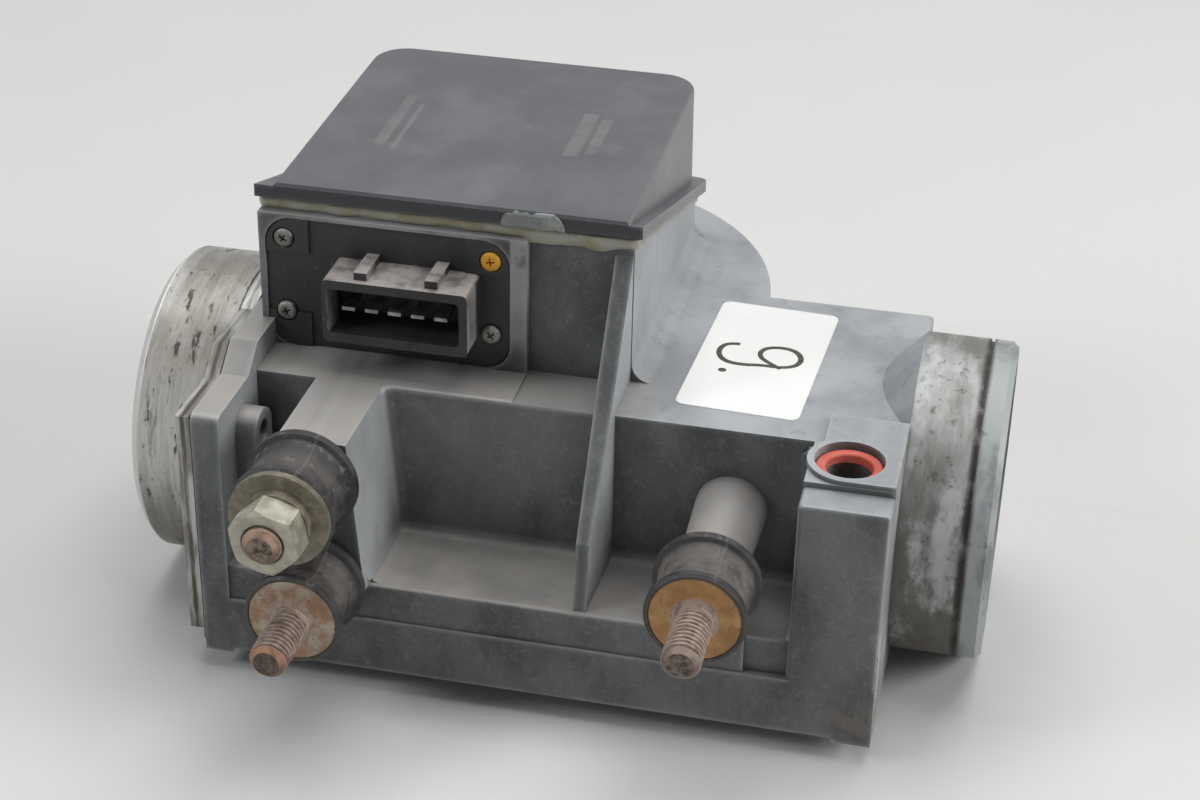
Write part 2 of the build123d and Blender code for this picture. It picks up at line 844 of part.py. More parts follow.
    # Shallow step across the deck, from the plug's pad to the rib
    with BuildSketch(Plane.XY.offset(deck_height - deck_step)):
        with Locations((plug_pad_right, pocket_face - 1.0)):
            Rectangle(
                rib_x - rib_draft - plug_pad_right,
                box_front - pocket_face + 1.0,
                align=(Align.MIN, Align.MIN),
            )
    extrude(amount=2 * deck_step, mode=Mode.SUBTRACT)
    # Holes of the flange screws, the stop bumper and the rear buffer studs
    with BuildSketch(Plane.YZ.offset(flange_x)):
        with Locations(*flange_screw_places()):
            Circle(flange_screw_radius)
    extrude(amount=flange_thickness + flange_boss_length, mode=Mode.SUBTRACT)
    with BuildSketch(Plane.YZ.offset(chamber_left)):
        with Locations((stop_place_y, channel_mid)):
            Circle(stop_radius - stop_stem_step)
    extrude(amount=-wall_thickness, mode=Mode.SUBTRACT)
    with BuildSketch(Plane.XZ.offset(-buffer_seat)):
        with Locations(*buffer_places.values()):
            Circle(stud_radius)
    extrude(amount=-stud_hole_depth, mode=Mode.SUBTRACT)
write(housing, "housing")

# ---- Inlet ring, its gasket and its screws -------------------------------------------------------

with BuildPart() as inlet_ring:
    with BuildSketch(Plane.YZ):
        Circle(duct_radius)
    extrude(amount=ring_tube_length)
    with BuildSketch(Plane.YZ.offset(ring_tube_length)):
        with BuildLine():
            Polyline(*flange_outline(ring_plate_inset), close=True)
        make_face()
        Circle(duct_radius - flange_ring_shrink)
    extrude(amount=ring_plate_thickness)
    with BuildSketch(Plane.YZ):
        Circle(bore_radius)
    extrude(amount=ring_tube_length + ring_plate_thickness, mode=Mode.SUBTRACT)
    with BuildSketch(Plane.YZ.offset(ring_tube_length)):
        with Locations(*flange_screw_places()):
            Circle(flange_screw_radius + screw_clearance)
    extrude(amount=ring_plate_thickness, mode=Mode.SUBTRACT)
    chamfer(inlet_ring.faces().sort_by(Axis.X)[0].outer_wire().edges(), ring_chamfer)
write(inlet_ring, "inlet_ring")

with BuildPart() as inlet_gasket:
    with BuildSketch(Plane.YZ.offset(flange_x - gasket_thickness)):
        with BuildLine():
            Polyline(*flange_outline(ring_plate_inset / 2), close=True)
        make_face()
        Circle(duct_radius - flange_ring_shrink)
        Circle(bore_radius + 1.0, mode=Mode.SUBTRACT)
        with Locations(*flange_screw_places()):
            Circle(flange_screw_radius + screw_clearance, mode=Mode.SUBTRACT)
    extrude(amount=gasket_thickness)
write(inlet_gasket, "inlet_gasket")

with BuildPart() as flange_screws:
    with BuildSketch(Plane.YZ.offset(ring_tube_length)):
        with Locations(*flange_screw_places()):
            Circle(flange_screw_head_radius)
    extrude(amount=-flange_screw_head)
    fillet(flange_screws.faces().sort_by(Axis.X)[0].edges(), small_fillet)
    with BuildSketch(Plane.YZ.offset(ring_tube_length)):
        with Locations(*flange_screw_places()):
            Circle(flange_screw_radius - press_clearance)
    grip = ring_plate_thickness + gasket_thickness + flange_thickness + flange_boss_length
    extrude(amount=grip - flange_screw_end_gap)
    with BuildSketch(Plane.YZ.offset(ring_tube_length - flange_screw_head)):
        with Locations(*flange_screw_places()):
            RegularPolygon(flange_screw_socket_radius, 6)
    extrude(amount=flange_screw_socket_depth, mode=Mode.SUBTRACT)
write(flange_screws, "flange_screws")

# ---- Flap and its shaft --------------------------------------------------------------------------

flap_bottom = channel_bottom + flap_edge_gap
flap_height = channel_tall - 2 * flap_edge_gap
flap_reach = shaft_y + channel_half_width - flap_edge_gap
damper_reach = chamber_radius - flap_edge_gap
flap_corner = channel_corner + flap_edge_gap
flap_rib_height = 2.6
flap_plane = Plane(origin=(shaft_x, shaft_y, flap_bottom), z_dir=(0, 0, 1)).rotated((0, 0, flap_rest_angle))
damper_plane = flap_plane.rotated((0, 0, damper_offset))
flap_rib_shares = (0.25, 0.5, 0.75)
flap_rib_width = 1.6
flap_rib_end_gap = 5.0
flap_rib_draft = 12.0
damper_corner = 2.0
shaft_bottom = floor_height + bearing_cap_thickness + seat_gap
hub_base = upper_boss_height + 2 * seat_gap
hub_flange_gap = 1.9
hub_step = hub_base + spring_height + hub_flange_gap
wiper_lift = 1.6
hub_shelf = board_height + board_thickness + wiper_lift
hub_neck_height = 3.0
hub_top = hub_shelf + hub_neck_height
clip_thickness = 0.9
clip_groove_radius = 2.3
clip_edge = 0.5
clip_mouth_grip = 0.4
shaft_end = 2.0
shaft_top = hub_top + clip_thickness + shaft_end


def vane(plane, reach, tip_corner):
    """One blade of the flap in the plane through the shaft's axis: a plate with ribs and an end bead."""
    blade_plane = Plane(origin=plane.origin, x_dir=plane.x_dir, z_dir=-plane.y_dir)
    with BuildSketch(blade_plane.offset(-flap_thickness / 2)) as blade:
        with Locations((0, 0)):
            Rectangle(reach, flap_height, align=(Align.MIN, Align.MIN))
        fillet(blade.vertices().group_by(Axis.X)[-1], tip_corner)
    extrude(blade.sketch, amount=flap_thickness)
    with BuildSketch(blade_plane.offset(flap_thickness / 2)) as ribs:
        for share in flap_rib_shares:
            with Locations((hub_radius - 1.0, flap_height * share)):
                Rectangle(
                    reach - hub_radius - flap_rib_end_gap, flap_rib_width, align=(Align.MIN, Align.CENTER)
                )
    extrude(ribs.sketch, amount=flap_rib_height, taper=flap_rib_draft)


with BuildPart() as sensor_flap:
    with BuildSketch(flap_plane):
        Circle(hub_radius)
    extrude(amount=flap_height)
    vane(flap_plane, flap_reach, flap_corner)
    vane(damper_plane, damper_reach, damper_corner)
    with BuildSketch(flap_plane):
        Circle(shaft_radius + press_clearance)
    extrude(amount=flap_height, mode=Mode.SUBTRACT)
write(sensor_flap, "sensor_flap")

with BuildPart() as vane_shaft:
    with BuildSketch(Plane.XY.offset(shaft_bottom)):
        with Locations(shaft_place):
            Circle(shaft_radius)
    extrude(amount=shaft_top - shaft_bottom)
    chamfer(vane_shaft.edges().filter_by(GeomType.CIRCLE), small_chamfer)
    with BuildSketch(Plane.XY.offset(hub_top)):
        with Locations(shaft_place):
            Circle(shaft_radius + 1.0)
            Circle(clip_groove_radius, mode=Mode.SUBTRACT)
    extrude(amount=clip_thickness + 2 * running_fit, mode=Mode.SUBTRACT)
write(vane_shaft, "vane_shaft")

with BuildPart() as shaft_circlip:
    with BuildSketch(Plane.XY.offset(hub_top + running_fit)):
        with Locations(shaft_place):
            Circle(2 * shaft_radius - clip_edge)
            Circle(clip_groove_radius + press_clearance, mode=Mode.SUBTRACT)
        with Locations(shaft_place):
            Rectangle(
                2 * shaft_radius,
                2 * clip_groove_radius - clip_mouth_grip,
                align=(Align.MIN, Align.CENTER),
                mode=Mode.SUBTRACT,
            )
    extrude(amount=clip_thickness)
write(shaft_circlip, "shaft_circlip")

with BuildPart() as upper_bearing:
    with BuildSketch(Plane.XY.offset(upper_boss_height - upper_bearing_length)):
        with Locations(shaft_place):
            Circle(bearing_radius - press_clearance)
            Circle(shaft_radius + running_fit, mode=Mode.SUBTRACT)
    extrude(amount=upper_bearing_length)
write(upper_bearing, "upper_bearing")

with BuildPart() as lower_bearing:
    with BuildSketch(Plane.XY.offset(floor_height + bearing_cap_thickness)):
        with Locations(shaft_place):
            Circle(bearing_radius - press_clearance)
            Circle(shaft_radius + running_fit, mode=Mode.SUBTRACT)
    extrude(amount=lower_bearing_length)
write(lower_bearing, "lower_bearing")

with BuildPart() as lower_bearing_cap:
    with BuildSketch(Plane.XY.offset(floor_height)):
        with Locations(shaft_place):
            Circle(bearing_radius - press_clearance)
    extrude(amount=bearing_cap_thickness)
    chamfer(lower_bearing_cap.faces().sort_by(Axis.Z)[0].edges(), small_chamfer)
write(lower_bearing_cap, "lower_bearing_cap")

with BuildPart() as flap_stop_bumper:
    with BuildSketch(Plane.YZ.offset(chamber_left)):
        with Locations((stop_place_y, channel_mid)):
            Circle(stop_radius)
    extrude(amount=shaft_x - chamber_left - flap_thickness / 2 - stop_gap)
    fillet(flap_stop_bumper.faces().sort_by(Axis.X)[-1].edges(), stop_rounding)
    with BuildSketch(Plane.YZ.offset(chamber_left)):
        with Locations((stop_place_y, channel_mid)):
            Circle(stop_radius - stop_stem_step - press_clearance)
    extrude(amount=-wall_thickness)
write(flap_stop_bumper, "flap_stop_bumper")

# ---- Measuring parts in the electronics box ------------------------------------------------------

wheel_base = deck_height + seat_gap
wheel_slot_circle = (tension_wheel_radius - tooth_depth + bearing_boss_radius) / 2
spring_base = hub_base + spring_lift

with BuildPart() as tension_wheel:
    with BuildSketch(Plane.XY.offset(wheel_base)):
        with Locations(shaft_place):
            Circle(tension_wheel_radius - tooth_depth)
            with PolarLocations(tension_wheel_radius - tooth_depth - tooth_root, tension_wheel_teeth):
                Trapezoid(
                    tooth_width,
                    tooth_depth + tooth_root,
                    tooth_slope,
                    align=(Align.CENTER, Align.MIN),
                    rotation=-90,
                )
            Circle(bearing_boss_radius + running_fit, mode=Mode.SUBTRACT)
            with PolarLocations(wheel_slot_circle, wheel_slots, start_angle=wheel_slot_start):
                SlotOverall(wheel_slot_length, wheel_slot_width, rotation=90, mode=Mode.SUBTRACT)
    extrude(amount=tension_wheel_thickness)
    with BuildSketch(Plane.XY.offset(wheel_base)):
        with Locations(polar(spring_outer_radius + spring_post_radius + spring_strip / 2, 0)):
            Circle(spring_post_radius)
    extrude(amount=spring_base + spring_height - wheel_base)
write(tension_wheel, "tension_wheel")


def spring_side(shift):
    """One side of the return spring's strip: half circles that grow from the hub to the wheel's post."""
    growth = (spring_outer_radius - spring_inner_radius) / (4 * spring_turns)
    for half in range(2 * spring_turns):
        centre = shaft_x + (growth if half % 2 else -growth)
        radius = spring_inner_radius + (2 * half + 1) * growth + shift
        CenterArc((centre, shaft_y), radius, 180.0 * (half % 2), 180.0)


with BuildPart() as return_spring:
    with BuildSketch(Plane.XY.offset(spring_base)):
        with BuildLine():
            for side in (-1, 1):
                spring_side(side * spring_strip / 2)
            for radius in (spring_inner_radius, spring_outer_radius):
                Line(polar(radius - spring_strip / 2, 0), polar(radius + spring_strip / 2, 0))
        make_face()
    extrude(amount=spring_height)
write(return_spring, "return_spring")

lock_angle = 150.0
lock_gap = 0.35
lock_strip = 0.7
lock_reach = 8.0
lock_post_radius = 2.0
lock_post_circle = tension_wheel_radius + lock_gap + tooth_depth + lock_post_radius
lock_plane = Plane(
    origin=(*polar(tension_wheel_radius + lock_gap, lock_angle), wheel_base),
    x_dir=(math.cos(math.radians(lock_angle)), math.sin(math.radians(lock_angle)), 0),
    z_dir=(0, 0, 1),
)
with BuildPart() as wheel_lock_spring:
    with BuildSketch(lock_plane):
        with BuildLine():
            Polyline(
                (0, 0),
                (tooth_depth, -tooth_depth),
                (tooth_depth, -lock_reach),
                (tooth_depth + lock_strip, -lock_reach),
                (tooth_depth + lock_strip, lock_reach),
                (tooth_depth, lock_reach),
                (tooth_depth, tooth_depth),
                close=True,
            )
        make_face()
    extrude(amount=tension_wheel_thickness)
    with BuildSketch(Plane.XY.offset(deck_height)):
        with Locations(polar(lock_post_circle, lock_angle)):
            Circle(lock_post_radius)
    extrude(amount=tension_wheel_thickness + 1.0)
write(wheel_lock_spring, "wheel_lock_spring")

hub_disc_radius = 8.0
hub_neck_radius = 5.2
counterweight_inner = 9.0
counterweight_outer = 22.0
counterweight_half_angle = 32.0

with BuildPart() as wiper_hub:
    with BuildSketch(Plane.XY.offset(hub_base)):
        with Locations(shaft_place):
            Circle(spring_inner_radius - spring_strip / 2 - seat_gap)
    extrude(amount=hub_step - hub_base)
    with BuildSketch(Plane.XY.offset(hub_step)):
        with Locations(shaft_place):
            Circle(hub_disc_radius)
        with BuildLine():
            start = polar(counterweight_inner, wiper_rest_angle + 180 - counterweight_half_angle)
            Line(start, polar(counterweight_outer, wiper_rest_angle + 180 - counterweight_half_angle))
            ThreePointArc(
                polar(counterweight_outer, wiper_rest_angle + 180 - counterweight_half_angle),
                polar(counterweight_outer, wiper_rest_angle + 180),
                polar(counterweight_outer, wiper_rest_angle + 180 + counterweight_half_angle),
            )
            Line(
                polar(counterweight_outer, wiper_rest_angle + 180 + counterweight_half_angle),
                polar(shaft_radius, wiper_rest_angle + 180 + counterweight_half_angle),
            )
            Line(
                polar(shaft_radius, wiper_rest_angle + 180 + counterweight_half_angle),
                polar(shaft_radius, wiper_rest_angle + 180 - counterweight_half_angle),
            )
            Line(polar(shaft_radius, wiper_rest_angle + 180 - counterweight_half_angle), start)
        make_face()
    extrude(amount=hub_shelf - hub_step)
    with BuildSketch(Plane.XY.offset(hub_shelf)):
        with Locations(shaft_place):
            Circle(hub_neck_radius)
    extrude(amount=hub_top - hub_shelf)
    with BuildSketch(Plane.XY.offset(hub_base)):
        with Locations(shaft_place):
            Circle(shaft_radius + press_clearance)
    extrude(amount=hub_top - hub_base, mode=Mode.SUBTRACT)
write(wiper_hub, "wiper_hub")

arm_strip = 0.5
arm_strip_width = 6.0
arm_ring_step = 0.4
arm_start = 3.0
finger_gap = 0.08
finger_length = 5.0
finger_tip = 1.2
finger_bend = 0.8
finger_slot_start = 6.0
finger_slot_length = 8.0
finger_slot_width = 0.5
arm_plane = Plane(
    origin=(shaft_x, shaft_y, hub_shelf),
    x_dir=(math.cos(math.radians(wiper_rest_angle)), math.sin(math.radians(wiper_rest_angle)), 0),
    z_dir=(0, 0, 1),
)
arm_side = Plane(origin=arm_plane.origin, x_dir=arm_plane.x_dir, z_dir=-arm_plane.y_dir)
finger_drop = hub_shelf - board_height - board_thickness - finger_gap

with BuildPart() as wiper_arm:
    with BuildSketch(arm_plane):
        Circle(hub_disc_radius - arm_ring_step)
        with Locations((arm_start, 0)):
            Rectangle(
                wiper_reach - finger_length + finger_bend - arm_start,
                arm_strip_width,
                align=(Align.MIN, Align.CENTER),
            )
        Circle(hub_neck_radius + press_clearance, mode=Mode.SUBTRACT)
    extrude(amount=arm_strip)
    with BuildSketch(arm_side.offset(-arm_strip_width / 2)):
        with BuildLine():
            Polyline(
                (wiper_reach - finger_length, 0),
                (wiper_reach - finger_tip, -finger_drop),
                (wiper_reach, -finger_drop),
                (wiper_reach, -finger_drop + arm_strip),
                (wiper_reach - finger_bend, -finger_drop + arm_strip),
                (wiper_reach - finger_length + finger_bend, arm_strip),
                (wiper_reach - finger_length, arm_strip),
                close=True,
            )
        make_face()
    extrude(amount=arm_strip_width)
    with BuildSketch(arm_plane.offset(-finger_drop - 1.0)):
        for side in (-1, 1):
            with Locations((wiper_reach - finger_slot_start, side)):
                Rectangle(finger_slot_length, finger_slot_width, align=(Align.MIN, Align.CENTER))
    extrude(amount=finger_drop + arm_strip + 2.0, mode=Mode.SUBTRACT)
write(wiper_arm, "wiper_arm")


def sector(inner, outer, start_angle, end_angle):
    """Outline of a ring sector about the flap's shaft."""
    middle = (start_angle + end_angle) / 2
    Line(polar(inner, start_angle), polar(outer, start_angle))
    ThreePointArc(polar(outer, start_angle), polar(outer, middle), polar(outer, end_angle))
    Line(polar(outer, end_angle), polar(inner, end_angle))
    ThreePointArc(polar(inner, end_angle), polar(inner, middle), polar(inner, start_angle))


with BuildPart() as resistor_board:
    with BuildSketch(Plane.XY.offset(board_height)):
        with BuildLine():
            sector(board_inner_radius, board_outer_radius, board_start_angle, board_end_angle)
        make_face()
        with Locations(*board_post_places):
            Circle(board_screw_radius + screw_clearance, mode=Mode.SUBTRACT)
    extrude(amount=board_thickness)
write(resistor_board, "resistor_board")

with BuildPart() as board_screws:
    with BuildSketch(Plane.XY.offset(board_height + board_thickness)):
        with Locations(*board_post_places):
            Circle(board_screw_head_radius)
    extrude(amount=board_screw_head)
    fillet(board_screws.faces().sort_by(Axis.Z)[-1].edges(), small_chamfer)
    with BuildSketch(Plane.XY.offset(board_height + board_thickness)):
        with Locations(*board_post_places):
            Circle(board_screw_radius - press_clearance)
    extrude(amount=-board_thickness - board_screw_grip)
write(board_screws, "board_screws")

with BuildPart() as air_temperature_sensor:
    with BuildSketch(Plane.XY.offset(deck_height)):
        with Locations(sensor_place):
            Circle(sensor_stem_radius + sensor_collar_width)
    extrude(amount=sensor_collar_thickness)
    with BuildSketch(Plane.XY.offset(deck_height)):
        with Locations(sensor_place):
            Circle(sensor_stem_radius)
    extrude(amount=channel_top - deck_height - 3.0)
    with BuildSketch(Plane.XY.offset(channel_top - 3.0)):
        with Locations(sensor_place):
            Circle(sensor_bulb_radius)
    extrude(amount=-sensor_bulb_length)
    fillet(air_temperature_sensor.faces().sort_by(Axis.Z)[0].edges(), 0.75 * sensor_bulb_radius)
write(air_temperature_sensor, "air_temperature_sensor")

# ---- Plug socket ---------------------------------------------------------------------------------

recess_floor = deck_depth + plug_recess_depth
plate_back = recess_floor - plug_gasket_thickness
plate_front = plate_back - plate_thickness
shroud_front = plate_front - shroud_depth
socket_width = shroud_width - socket_left_wall - socket_right_wall
socket_height = shroud_height - socket_top_wall - socket_bottom_wall
plate_centre = (plate_left + plate_width / 2, plate_bottom + plate_height / 2)
pin_columns = [pin_first_x + pin_pitch * place for place in range(pin_count)]
pin_places = [(pin_x, pin_z) for pin_x in pin_columns]

with BuildPart() as connector_gasket:
    with BuildSketch(Plane.XZ.offset(-recess_floor)):
        with Locations(plate_centre):
            RectangleRounded(plate_width, plate_height, plate_corner)
        with Locations(window_centre):
            RectangleRounded(window_width, window_height, window_corner, mode=Mode.SUBTRACT)
        with Locations(*plug_screw_places):
            Circle(plug_screw_radius + screw_clearance, mode=Mode.SUBTRACT)
    extrude(amount=plug_gasket_thickness)
write(connector_gasket, "connector_gasket")

with BuildPart() as connector_body:
    with BuildSketch(Plane.XZ.offset(-plate_back)):
        with Locations(plate_centre):
            RectangleRounded(plate_width, plate_height, plate_corner)
    extrude(amount=plate_thickness)
    # Raised corners round the screws
    with BuildSketch(Plane.XZ.offset(-plate_front)):
        with Locations(plate_centre):
            RectangleRounded(plate_width, plate_height, plate_corner)
            Rectangle(plate_width - 2 * plate_step_width, plate_height, mode=Mode.SUBTRACT)
            Rectangle(plate_width, plate_height - 4 * plug_screw_inset, mode=Mode.SUBTRACT)
        with Locations((plate_left + plate_width, plate_bottom)):
            Rectangle(
                plate_step_width, plate_notch_height, align=(Align.MAX, Align.MIN), mode=Mode.SUBTRACT
            )
    extrude(amount=plate_step)
    with BuildSketch(Plane.XZ.offset(-plate_front)) as shroud_sketch:
        with Locations((shroud_left, shroud_bottom)):
            Rectangle(shroud_width, shroud_height, align=(Align.MIN, Align.MIN))
        fillet(shroud_sketch.vertices(), shroud_corner)
    extrude(amount=shroud_depth)
    with BuildSketch(Plane.XZ.offset(-plate_front)):
        with Locations(*[(x, shroud_bottom + shroud_height - 0.5) for x in key_places]):
            Rectangle(key_width, key_height + 0.5, align=(Align.CENTER, Align.MIN))
    extrude(amount=shroud_depth - key_setback)
    with BuildSketch(Plane.XZ.offset(-shroud_front)) as socket_sketch:
        with Locations((shroud_left + socket_left_wall, shroud_bottom + socket_bottom_wall)):
            Rectangle(socket_width, socket_height, align=(Align.MIN, Align.MIN))
        fillet(socket_sketch.vertices(), socket_corner)
    extrude(amount=-shroud_depth, mode=Mode.SUBTRACT)
    with BuildSketch(Plane.XZ.offset(-plate_front)):
        with Locations(*pin_places):
            Rectangle(pin_width + 2 * press_clearance, pin_thickness + 2 * press_clearance)
    extrude(amount=-plate_thickness, mode=Mode.SUBTRACT)
    with BuildSketch(Plane.XZ.offset(-plate_front + plate_step)):
        with Locations(*plug_screw_places):
            Circle(plug_screw_head_radius + screw_clearance)
    extrude(amount=-plate_step - plug_screw_sink, mode=Mode.SUBTRACT)
    with BuildSketch(Plane.XZ.offset(-plate_back)):
        with Locations(*plug_screw_places):
            Circle(plug_screw_radius + screw_clearance)
    extrude(amount=plate_thickness, mode=Mode.SUBTRACT)
write(connector_body, "connector_body")

pin_tail_end = box_front + box_wall + pin_tail
with BuildPart() as connector_pins:
    with BuildSketch(Plane.XZ.offset(-pin_tail_end)):
        with Locations(*pin_places):
            Rectangle(pin_width, pin_thickness)
    extrude(amount=pin_tail_end - shroud_front - pin_tip_setback)
write(connector_pins, "connector_pins")

with BuildPart() as contact_leads:
    for pin_x in pin_columns:
        board_edge = shaft_y - math.sqrt(board_outer_radius**2 - (pin_x - shaft_x) ** 2)
        lead_start = pin_tail_end - pin_tail + seat_gap
        with BuildSketch(Plane.XY.offset(board_height + board_thickness)):
            with Locations((pin_x, lead_start)):
                Rectangle(lead_width, board_edge + lead_lap - lead_start, align=(Align.CENTER, Align.MIN))
        extrude(amount=pin_z - pin_thickness / 2 - board_height - board_thickness)
write(contact_leads, "contact_leads")

with BuildPart() as connector_screws:
    with BuildSketch(Plane.XZ.offset(-plate_front - plug_screw_sink)):
        with Locations(*plug_screw_places):
            Circle(plug_screw_head_radius)
    extrude(amount=plug_screw_head)
    fillet(connector_screws.faces().sort_by(Axis.Y)[0].edges(), small_chamfer)
    with BuildSketch(Plane.XZ.offset(-plate_front - plug_screw_sink)):
        with Locations(*plug_screw_places):
            Circle(plug_screw_radius - press_clearance)
    extrude(amount=-plug_screw_length)
write(connector_screws, "connector_screws")

# ---- Cover of the electronics box ----------------------------------------------------------------

cover_left = rim_left + cover_left_inset
cover_right = rim_right - cover_right_inset
cover_back = rim_back - cover_back_inset
cover_foot = cover_back + cover_back_draft


def sloped(front, back, low, high):
    """Profile (y, z) between two heights that follow the rim's slope."""
    return [(front, low(front)), (back, low(back)), (back, high(back)), (front, high(front))]


def rim_top(y):
    """Height of the cover rim's upper side at depth y."""
    return rim_height(y) + rim_thickness


cover_front_height = rim_top(rim_front) + cover_front_rise
cover_back_height = cover_front_height + cover_back_rise

with BuildPart() as cover_sealant:
    with BuildSketch(Plane.YZ.offset(box_left - 0.5)):
        with BuildLine():
            Polyline(*sloped(box_front - 0.5, box_back + 0.5, wall_top, rim_height), close=True)
        make_face()
    extrude(amount=box_right - box_left + 1.0)
    fillet(cover_sealant.edges().filter_by(Axis.Z).group_by(Axis.Y)[-1], box_back_corner)
    with BuildSketch(Plane.YZ.offset(box_left + box_wall)):
        with BuildLine():
            Polyline(
                *sloped(
                    box_front + box_wall,
                    box_back - box_wall,
                    lambda y: wall_top(y) - 1.0,
                    lambda y: rim_height(y) + 1.0,
                ),
                close=True,
            )
        make_face()
    extrude(amount=box_right - box_left - 2 * box_wall, mode=Mode.SUBTRACT)
write(cover_sealant, "cover_sealant")

with BuildPart() as cover:
    # Raised block: flush with the rim in front, its top rising a little towards the back
    with BuildSketch(Plane.YZ.offset(cover_left)):
        with BuildLine():
            Polyline(
                (rim_front, rim_height(rim_front) + 0.5),
                (cover_foot, rim_height(cover_foot) + 0.5),
                (cover_back, cover_back_height),
                (rim_front + cover_front_rise, cover_front_height),
                (rim_front, rim_top(rim_front)),
                close=True,
            )
        make_face()
    extrude(amount=cover_right - cover_left)
    back_edges = cover.edges().filter_by(lambda e: e.center().Y > cover_back)
    fillet(back_edges.filter_by(lambda e: abs(e.tangent_at(0.5).X) < 0.1), cover_corner)
    top_edges = cover.faces().sort_by(Axis.Z)[-1].edges()
    fillet(
        top_edges.filter_by(lambda e: e.center().Y > rim_front + cover_front_rise),
        cover_top_fillet,
    )
    # Rim that follows the box's sloping edge
    with BuildSketch(Plane.YZ.offset(rim_left)):
        with BuildLine():
            Polyline(*sloped(rim_front, rim_back, rim_height, rim_top), close=True)
        make_face()
    extrude(amount=rim_right - rim_left)
    rim_corners = cover.edges().filter_by(Axis.Z).filter_by(lambda e: e.center().Y > box_back)
    fillet(rim_corners, box_back_corner)
    # Hollow inside
    with BuildSketch(Plane.YZ.offset(cover_left + cover_wall)):
        with BuildLine():
            Polyline(
                (box_front + box_wall, rim_height(box_front) - 2.0),
                (cover_back - cover_wall, rim_height(cover_back) - 2.0),
                (cover_back - cover_wall, cover_back_height - cover_wall),
                (box_front + box_wall, cover_front_height - cover_wall),
                close=True,
            )
        make_face()
    extrude(amount=cover_right - cover_left - 2 * cover_wall, mode=Mode.SUBTRACT)
write(cover, "cover")

# ---- Buffers -------------------------------------------------------------------------------------

buffer_front = buffer_seat - buffer_length


def buffer_rubber(place, squeeze):
    """A waisted rubber cushion with a collar, a front lip and a disc recess at each end."""
    collar = place[0] + buffer_collar_radius + squeeze
    lip = place[0] + buffer_radius + squeeze
    waist = place[0] + buffer_waist + squeeze
    collar_end = buffer_seat - buffer_collar_length
    lip_end = buffer_front + buffer_lip_length
    lip_neck = (lip - rubber_neck, lip_end + lip_neck_rise)
    collar_neck = (collar - rubber_neck, collar_end - collar_neck_rise)
    with BuildPart() as rubber:
        with BuildSketch(Plane.XY.offset(place[1])) as profile:
            with BuildLine():
                Polyline(
                    lip_neck,
                    (lip, lip_end),
                    (lip, buffer_front + rubber_edge),
                    (lip - rubber_edge, buffer_front),
                    (place[0], buffer_front),
                    (place[0], buffer_seat),
                    (collar - rubber_edge, buffer_seat),
                    (collar, buffer_seat - rubber_edge),
                    (collar, collar_end),
                    collar_neck,
                )
                ThreePointArc(collar_neck, (waist, (collar_end + lip_end) / 2), lip_neck)
            make_face()
        revolve(profile.sketch, axis=Axis((place[0], 0, place[1]), (0, 1, 0)))
        for recess in (buffer_seat, buffer_front + buffer_disc_thickness):
            with BuildSketch(Plane.XZ.offset(-recess)) as disc:
                with Locations(place):
                    Circle(disc_recess_radius)
            extrude(disc.sketch, amount=buffer_disc_thickness, mode=Mode.SUBTRACT)
    return rubber


def buffer_stud(place, disc_face, length, outward):
    """A threaded stud on its disc; outward is +1 away from the housing and -1 into it."""
    with BuildPart() as stud:
        with BuildSketch(Plane.XZ.offset(-disc_face)):
            with Locations(place):
                Circle(disc_recess_radius - press_clearance)
        extrude(amount=-outward * buffer_disc_thickness)
        with BuildSketch(Plane.XZ.offset(-disc_face)):
            with Locations(place):
                Circle(stud_radius - press_clearance)
        extrude(amount=outward * length)
        tip = stud.faces().sort_by(Axis.Y)[0 if outward > 0 else -1]
        chamfer(tip.edges(), stud_chamfer)
    return stud


for buffer_name, buffer_place in buffer_places.items():
    has_nut = buffer_name == "upper_left"
    front_length = nut_stud_length if has_nut else stud_length
    squeeze = buffer_squeeze if has_nut else 0.0
    write(buffer_rubber(buffer_place, squeeze), f"buffer_rubber_{buffer_name}")
    write(buffer_stud(buffer_place, buffer_front, front_length, 1), f"buffer_stud_{buffer_name}")
    write(buffer_stud(buffer_place, buffer_seat, stud_root_length, -1), f"buffer_root_stud_{buffer_name}")

with BuildPart() as buffer_washer:
    with BuildSketch(Plane.XZ.offset(-buffer_front)):
        with Locations(upper_buffer):
            Circle(washer_radius)
            Circle(stud_radius + screw_clearance, mode=Mode.SUBTRACT)
    extrude(amount=washer_thickness)
write(buffer_washer, "buffer_washer")

lock_washer_face = buffer_front - washer_thickness
nut_face = lock_washer_face - lock_washer_thickness

with BuildPart() as buffer_lock_washer:
    with BuildSketch(Plane.XZ.offset(-lock_washer_face)):
        with Locations(upper_buffer):
            Circle(lock_washer_radius)
            Circle(stud_radius + screw_clearance, mode=Mode.SUBTRACT)
            Rectangle(
                lock_washer_split, lock_washer_radius, align=(Align.CENTER, Align.MAX), mode=Mode.SUBTRACT
            )
    extrude(amount=lock_washer_thickness)
write(buffer_lock_washer, "buffer_lock_washer")

